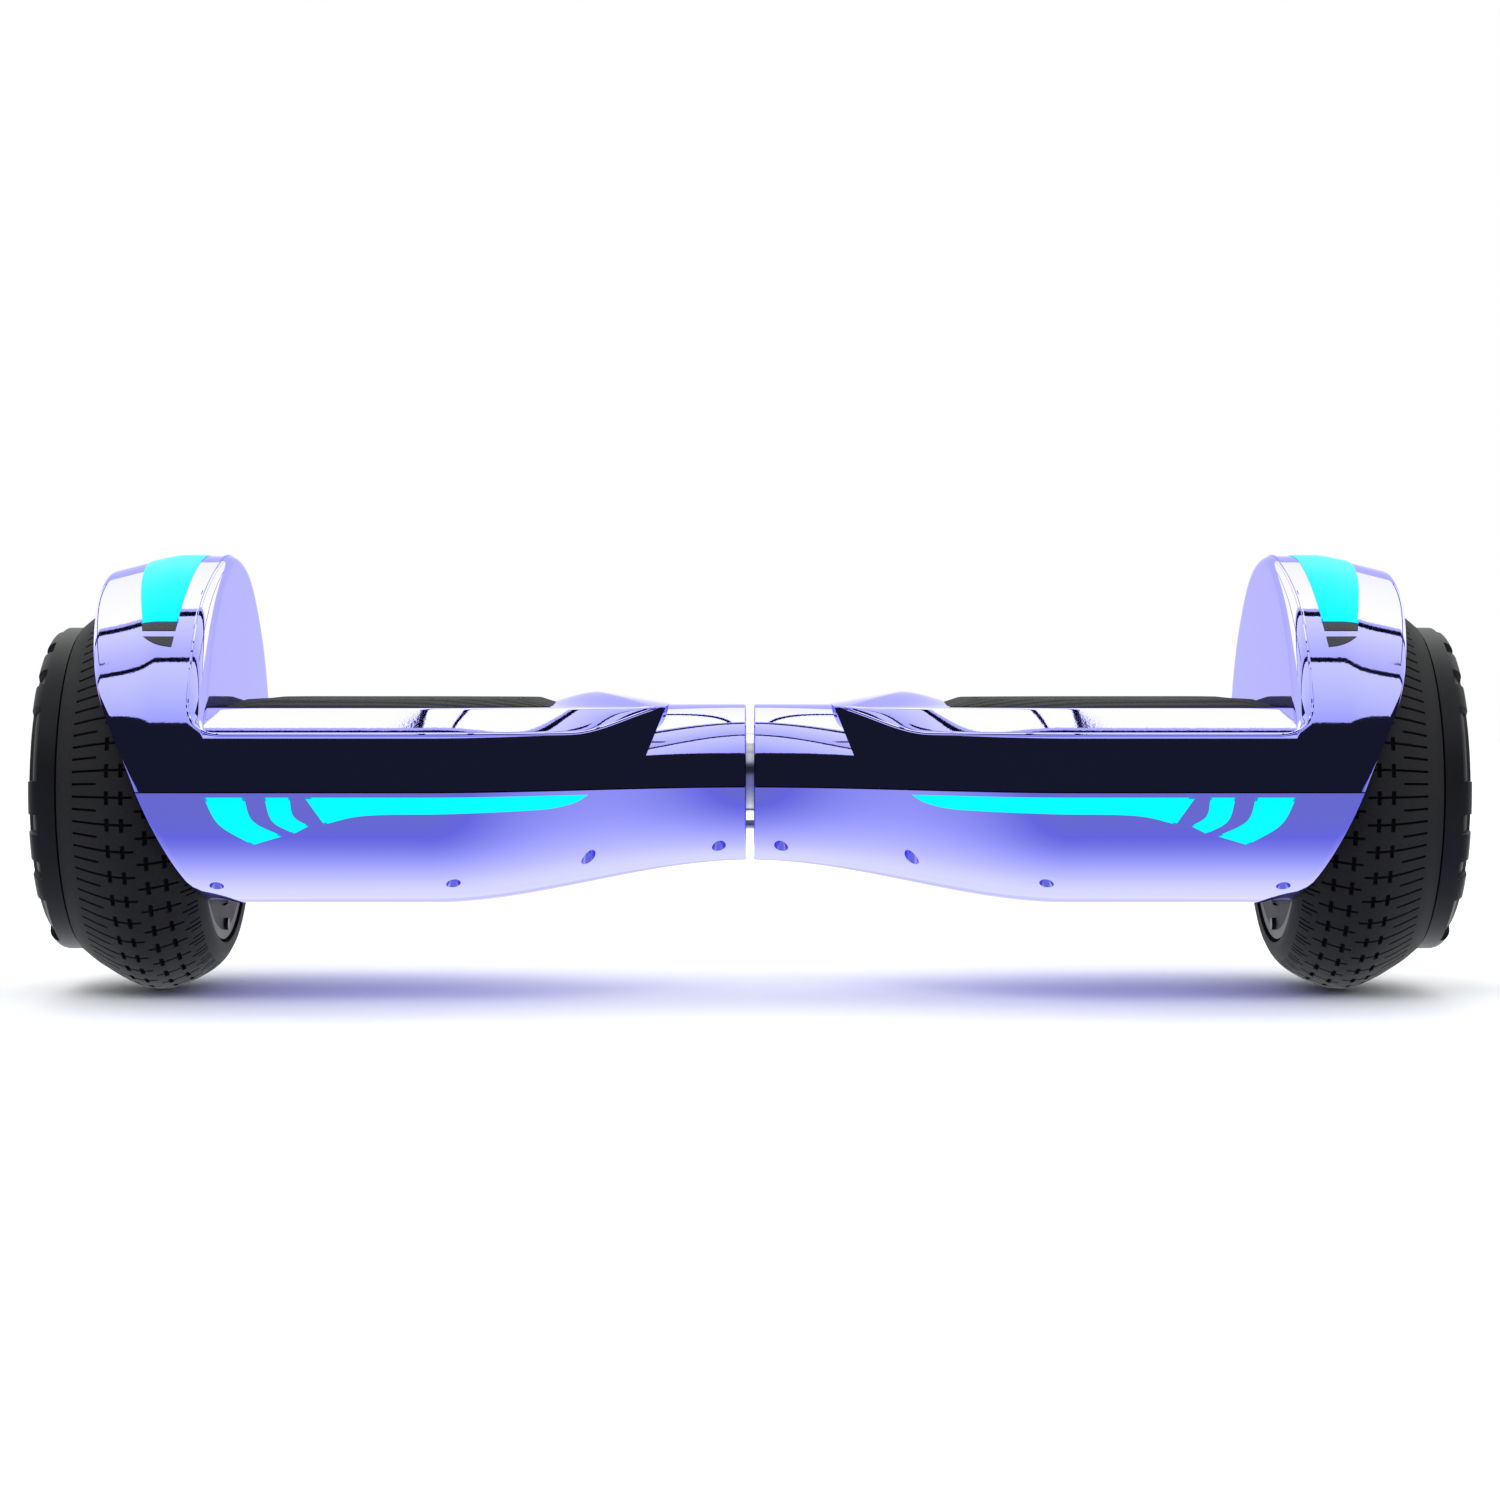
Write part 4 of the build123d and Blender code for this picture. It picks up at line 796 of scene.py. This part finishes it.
def groove(x, f):
    """True where the tread is cut, x in mm across the tyre and f along one pitch of the pattern."""
    main = 0.01 < f < 0.09
    offset_main = 0.51 < f < 0.59
    quarter = 0.26 < f < 0.32 or 0.76 < f < 0.82
    if main and (245.9 < x < 271.6 or 224.4 < x < 230.1):
        return True
    if offset_main and (229.9 < x < 245.1 or 260.9 < x < 271.6):
        return True
    if quarter and (224.4 < x < 228.1):
        return True
    in_outer_row = any(r < x < r + ROW_WIDTH for r in OUTER_ROWS)
    in_inner_row = any(r < x < r + ROW_WIDTH for r in INNER_ROWS)
    return (in_outer_row and (f < 0.32 or f > 0.82)) or (in_inner_row and 0.31 < f < 0.82)


def tread_stations():
    walls = [224.4, 228.1, 230.0, 245.0, 245.9, 260.9, 271.6]
    for r in OUTER_ROWS + INNER_ROWS:
        walls += [r, r + ROW_WIDTH]
    stations = [x + d for x in walls for d in (-0.12, 0.12)]
    stations += [221.5, 222.2, 223.2, 226, 232, 238, 243.4, 247.7, 253.4, 258.9, 264, 266, 268, 270, 272.6,
                 274, 275.5, 277, 278.2, 279.3]
    return np.array(sorted(stations))


def tyre(name, side):
    stations = tread_stations()
    radii = np.interp(stations, TREAD_CURVE[:, 0], TREAD_CURVE[:, 1]) * MM
    rows, cut_map = [], []
    for pitch in range(PITCHES):
        for f in PITCH_STEPS:
            angle = 2 * math.pi * (pitch + f) / PITCHES
            lowered = np.array([groove(x, f) for x in stations])
            r = radii - lowered * SIPE_DEPTH
            ring = np.stack([stations * MM, r * math.cos(angle), AXLE_Z + r * math.sin(angle)], 1)
            ends = [(x * MM, BEAD_RADIUS * math.cos(angle), AXLE_Z + BEAD_RADIUS * math.sin(angle))
                    for x in BEAD_X]
            rows.append(np.vstack([ring, ends]))
            cut_map.append(np.append(lowered, [False, False]))
    rows = np.array(rows)
    cut_map = np.array(cut_map).reshape(-1)
    faces = grid_faces(rows.shape[0], rows.shape[1], close_rows=True, close_columns=True)
    points = rows.reshape(-1, 3) * (side, 1, 1)
    mesh = bpy.data.meshes.new(name)
    if side > 0:
        faces = [f[::-1] for f in faces]
    mesh.from_pydata(points.tolist(), [], faces)
    # Faces sunk in the sipes take the second material, which paints shade into the grooves.
    mesh.polygons.foreach_set("material_index", [int(sum(cut_map[i] for i in f) >= 3) for f in faces])
    piece = bpy.data.objects.new(name, mesh)
    bpy.context.scene.collection.objects.link(piece)
    return piece


for label, side in SIDES:
    finish_piece(tyre(f"{label}_tread_tyre", side), f"{label}_wheel", [RUBBER, SIPE_PAINTED_SHADE],
                 [f"{label}_tyre"], sharp=40)

# ---------------------------------------------------------------------------------------------------
# Hub caps: a turned shoulder with edge notches round a five-armed face
# ---------------------------------------------------------------------------------------------------
CAP_RADIUS = (CAP_HIGH.z - CAP_LOW.z) / 2
ARM_SPAN = 72  # degrees from one arm to the next
ARM_REACH = 68  # mm, the face's radius, for the arms' width
NOTCHES = [(0, 13.5), (28.5, 3.5), (45.5, 3.5)]  # centre and half width in degrees, in every 72


def from_nearest(degrees):
    """The angle from the nearest arm."""
    return (degrees + ARM_SPAN / 2) % ARM_SPAN - ARM_SPAN / 2


def hub_cap(name, side):
    back, face = CAP_LOW.x + 2 * MM, CAP_HIGH.x
    profile = [(back, 0.86), (back, 0.985), (back + 0.4 * MM, 1.0)]
    profile += [(back + (face - 5 * MM - back) * k, 1.0) for k in (0.3, 0.6, 1.0)]
    profile += [(face - 5 * MM + 5 * MM * math.sin(t), 1 - 0.075 * (1 - math.cos(t))) for t in
                np.linspace(0.12, 1.45, 9)]
    profile += [(face - 0.05 * MM, 0.90), (face, 0.885), (face - 0.1 * MM, 0.86), (face - 1.6 * MM, 0.845)]
    profile += [(face - 1.6 * MM, k) for k in np.linspace(0.83, 0.34, 26)]
    profile += [(face - depth * MM, k) for depth, k in ((1.2, 0.33), (0.3, 0.315), (0.1, 0.30), (0.1, 0.24),
                                                        (0.8, 0.225), (0.9, 0.12), (0.9, 0.0))]
    rows = []
    for k in range(720):
        degrees = k / 2
        local = from_nearest(degrees)
        notch = any(abs(from_nearest(local - centre)) < half for centre, half in NOTCHES)
        row = []
        for x, r in profile:
            if notch and face - 4.2 * MM < x and 0.90 < r < 0.999:
                x, r = x - 1.6 * MM, r - 0.02
            if 0.33 < r < 0.835:  # five raised arms that widen outwards, with a groove along each
                arm = abs(local) * math.radians(1) * r * ARM_REACH
                width = 6 + 9 * (r - 0.33)
                raise_up = float(smooth((width - arm) / 1.6))
                slot = float(smooth((1.5 - arm) / 0.8)) * float(smooth((r - 0.42) / 0.03))
                slot *= float(smooth((0.76 - r) / 0.03))
                x = x + 1.4 * MM * raise_up - 0.9 * MM * slot
            angle = math.radians(degrees + 90)
            row.append((x, r * CAP_RADIUS * math.cos(angle), AXLE_Z + r * CAP_RADIUS * math.sin(angle)))
        rows.append(row)
    rows = np.array(rows)
    return make_object(name, rows, grid_faces(*rows.shape[:2], close_rows=True), side)


for label, side in SIDES:
    finish_piece(hub_cap(f"{label}_hub_face", side), f"{label}_wheel", HUB_CAP,
                 [f"{label}_hub_cap"], sharp=30)


# ---------------------------------------------------------------------------------------------------
# Foot pads
# ---------------------------------------------------------------------------------------------------
def footpad(name, side):
    """Flat middle, sloped margins that come down to the deck, and raised grip ribs."""
    outline = np.array(pad_outline(0))
    centre = np.array([(PAD_LOW.x + PAD_HIGH.x) / 2, 0])
    direction = outline - centre
    reach = np.linalg.norm(direction, axis=1, keepdims=True)
    rings = []
    top = PAD_HIGH.z
    for inset, z in ((0, PAD_UNDERSIDE), (0, 120.2 * MM), (0.4, 120.5 * MM), (6, top - 1.2 * MM),
                     (9.5, top - 0.15 * MM), (10.5, top), (13, top), (13.3, top - 0.5 * MM),
                     (14.1, top - 0.5 * MM), (14.4, top), (30, top), (50, top)):
        ring = centre + direction * (1 - inset * MM / reach)
        rings.append(np.column_stack([ring, np.full(len(ring), z)]))
    rings.append(np.tile([*centre, top], (len(outline), 1)))
    rows = np.array(rings)
    points, faces = rows.reshape(-1, 3), grid_faces(*rows.shape[:2], close_columns=True)
    faces.append(tuple(range(len(outline)))[::-1])
    return make_object(name, points, faces, side)


for label, side in SIDES:
    finish_piece(footpad(f"{label}_grip_pad", side), f"{label}_footpad", PAD,
                 [f"{label}_footpad"], sharp=28)

# ---------------------------------------------------------------------------------------------------
# Floor, light and camera
# ---------------------------------------------------------------------------------------------------
floor_mesh = bpy.data.meshes.new("floor")
floor_mesh.from_pydata([(-3, -3, 0), (3, -3, 0), (3, 4, 0), (-3, 4, 0)], [], [(0, 1, 2, 3)])
floor = bpy.data.objects.new("floor", floor_mesh)
bpy.context.scene.collection.objects.link(floor)
floor_mesh.materials.append(material("floor_paint", (0.93, 0.93, 0.94), 0.8, vary=0.005, scale=3))
floor.visible_glossy = False
floor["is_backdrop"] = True


def node_makers(tree):
    """Two functions that add a math node or a colour mix to a node tree and return its output."""
    nodes, links = tree.nodes, tree.links

    def fill(socket, value):
        if isinstance(value, bpy.types.NodeSocket):
            links.new(value, socket)
        elif value is not None:
            socket.default_value = (*value, 1) if isinstance(value, tuple) else value

    def calc(operation, a, b=None, clamp=False):
        node = nodes.new("ShaderNodeMath")
        node.operation = operation
        node.use_clamp = clamp
        fill(node.inputs[0], a)
        fill(node.inputs[1], b)
        return node.outputs[0]

    def mix(factor, a, b):
        node = nodes.new("ShaderNodeMix")
        node.data_type = "RGBA"
        fill(node.inputs["Factor"], factor)
        fill(node.inputs["A"], a)
        fill(node.inputs["B"], b)
        return node.outputs["Result"]

    return calc, mix


ROOM = (1.04, 1.04, 1.04)
LINE_COLOUR = (0.004, 0.004, 0.012)
BAND_COLOUR = (0.016, 0.018, 0.023)
CEILING_START = 0.5  # how high a direction points where the ceiling begins, as a sine
FLOOR_START = -0.045
PANELS_END = 0.12  # the ceiling's lines and soft panels lie in front of this, overhead
LINE_SPACING = 0.55
FLOOR_COLOURS = [  # from y, to y, and the colour reached
    (-1, -0.84, (0.28, 0.30, 0.76)), (-0.84, 0.28, (1.15, 1.18, 1.25)), (0.28, 0.74, (1.65, 1.70, 1.75)),
    (0.90, 0.95, ROOM),
]


def studio_world():
    """A white room with a lined ceiling of soft panels and a dark opening low at the front."""
    world = bpy.data.worlds.new("studio")
    bpy.context.scene.world = world
    world.use_nodes = True
    nodes, links = world.node_tree.nodes, world.node_tree.links
    calc, mix = node_makers(world.node_tree)
    place = nodes.new("ShaderNodeTexCoord")
    split = nodes.new("ShaderNodeSeparateXYZ")
    links.new(place.outputs["Generated"], split.inputs[0])
    x, y, z = split.outputs
    height = calc("MAXIMUM", z, 0.05)
    along, across = calc("DIVIDE", y, height), calc("DIVIDE", x, height)

    def lines(value, spacing, shift, width):
        cell = calc("FRACT", calc("ADD", calc("DIVIDE", value, spacing), shift))
        middle = calc("ABSOLUTE", calc("SUBTRACT", cell, 0.5))
        return calc("GREATER_THAN", middle, 0.5 - width), cell

    def between(value, low, high):
        return calc("MULTIPLY", calc("GREATER_THAN", value, low), calc("LESS_THAN", value, high))

    cross_lines, fade = lines(along, LINE_SPACING, 0.909, 0.055)
    cross_lines = calc("MULTIPLY", cross_lines, between(along, -0.9, PANELS_END))
    long_lines = calc("MULTIPLY", lines(across, 1.5, 0.5, 0.018)[0], calc("GREATER_THAN", along, -0.35))
    bars = calc("MULTIPLY", between(calc("ABSOLUTE", across), 0.088, 0.110),
                calc("GREATER_THAN", along, PANELS_END))
    line = calc("MAXIMUM", calc("MAXIMUM", cross_lines, long_lines), bars)
    panel = mix(fade, (0.86, 0.88, 1.0), (1.4, 1.45, 1.45))
    reach = calc("DIVIDE", calc("ADD", along, 1.75), 1.25, clamp=True)
    lowest = mix(reach, (0.7, 0.74, 1.0), (1.25, 1.3, 1.3))
    panel = mix(calc("GREATER_THAN", along, -0.5), lowest, panel)
    panel = mix(calc("GREATER_THAN", along, PANELS_END), panel, (2.2, 2.25, 2.2))
    ceiling = mix(line, panel, LINE_COLOUR)
    band = mix(calc("LESS_THAN", y, -0.25), ROOM, BAND_COLOUR)
    upper = mix(calc("GREATER_THAN", z, CEILING_START), band, ceiling)
    # Under the horizon the colour runs from violet dusk at the front to white at the back.
    under = (0.31, 0.32, 0.62)
    for start, end, colour in FLOOR_COLOURS:
        step = calc("DIVIDE", calc("SUBTRACT", y, start), end - start, clamp=True)
        under = mix(step, under, colour)
    seen = mix(calc("LESS_THAN", z, FLOOR_START), upper, under)
    path = nodes.new("ShaderNodeLightPath")
    background = nodes["Background"].inputs["Color"]
    links.new(mix(path.outputs["Is Camera Ray"], seen, (1.0, 1.0, 1.0)), background)


studio_world()


def area_light(name, place, target, size, power):
    light = bpy.data.lights.new(name, "AREA")
    light.shape = "RECTANGLE"
    light.size, light.size_y = size
    light.energy = power
    lamp = bpy.data.objects.new(name, light)
    lamp.location = place
    lamp.rotation_euler = (Vector(target) - Vector(place)).to_track_quat("-Z", "Y").to_euler()
    lamp.visible_glossy = False
    bpy.context.scene.collection.objects.link(lamp)


area_light("key_light", (-0.5, -1.1, 1.6), (0, 0, 0.08), (1.2, 0.8), 10)
area_light("fill_light", (1.2, -0.6, 0.8), (0, 0, 0.08), (0.8, 0.8), 3)

CAMERA_TILT = 1.585  # degrees below the horizon
camera = bpy.data.cameras.new("camera")
camera.lens = 75
camera.sensor_width = 36
view = bpy.data.objects.new("camera", camera)
view.location = (0, -1.326, 0.138)
view.rotation_euler = (math.radians(90 - CAMERA_TILT), 0, 0)
bpy.context.scene.collection.objects.link(view)
bpy.context.scene.camera = view
bpy.context.scene.view_settings.view_transform = "Standard"

low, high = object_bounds()
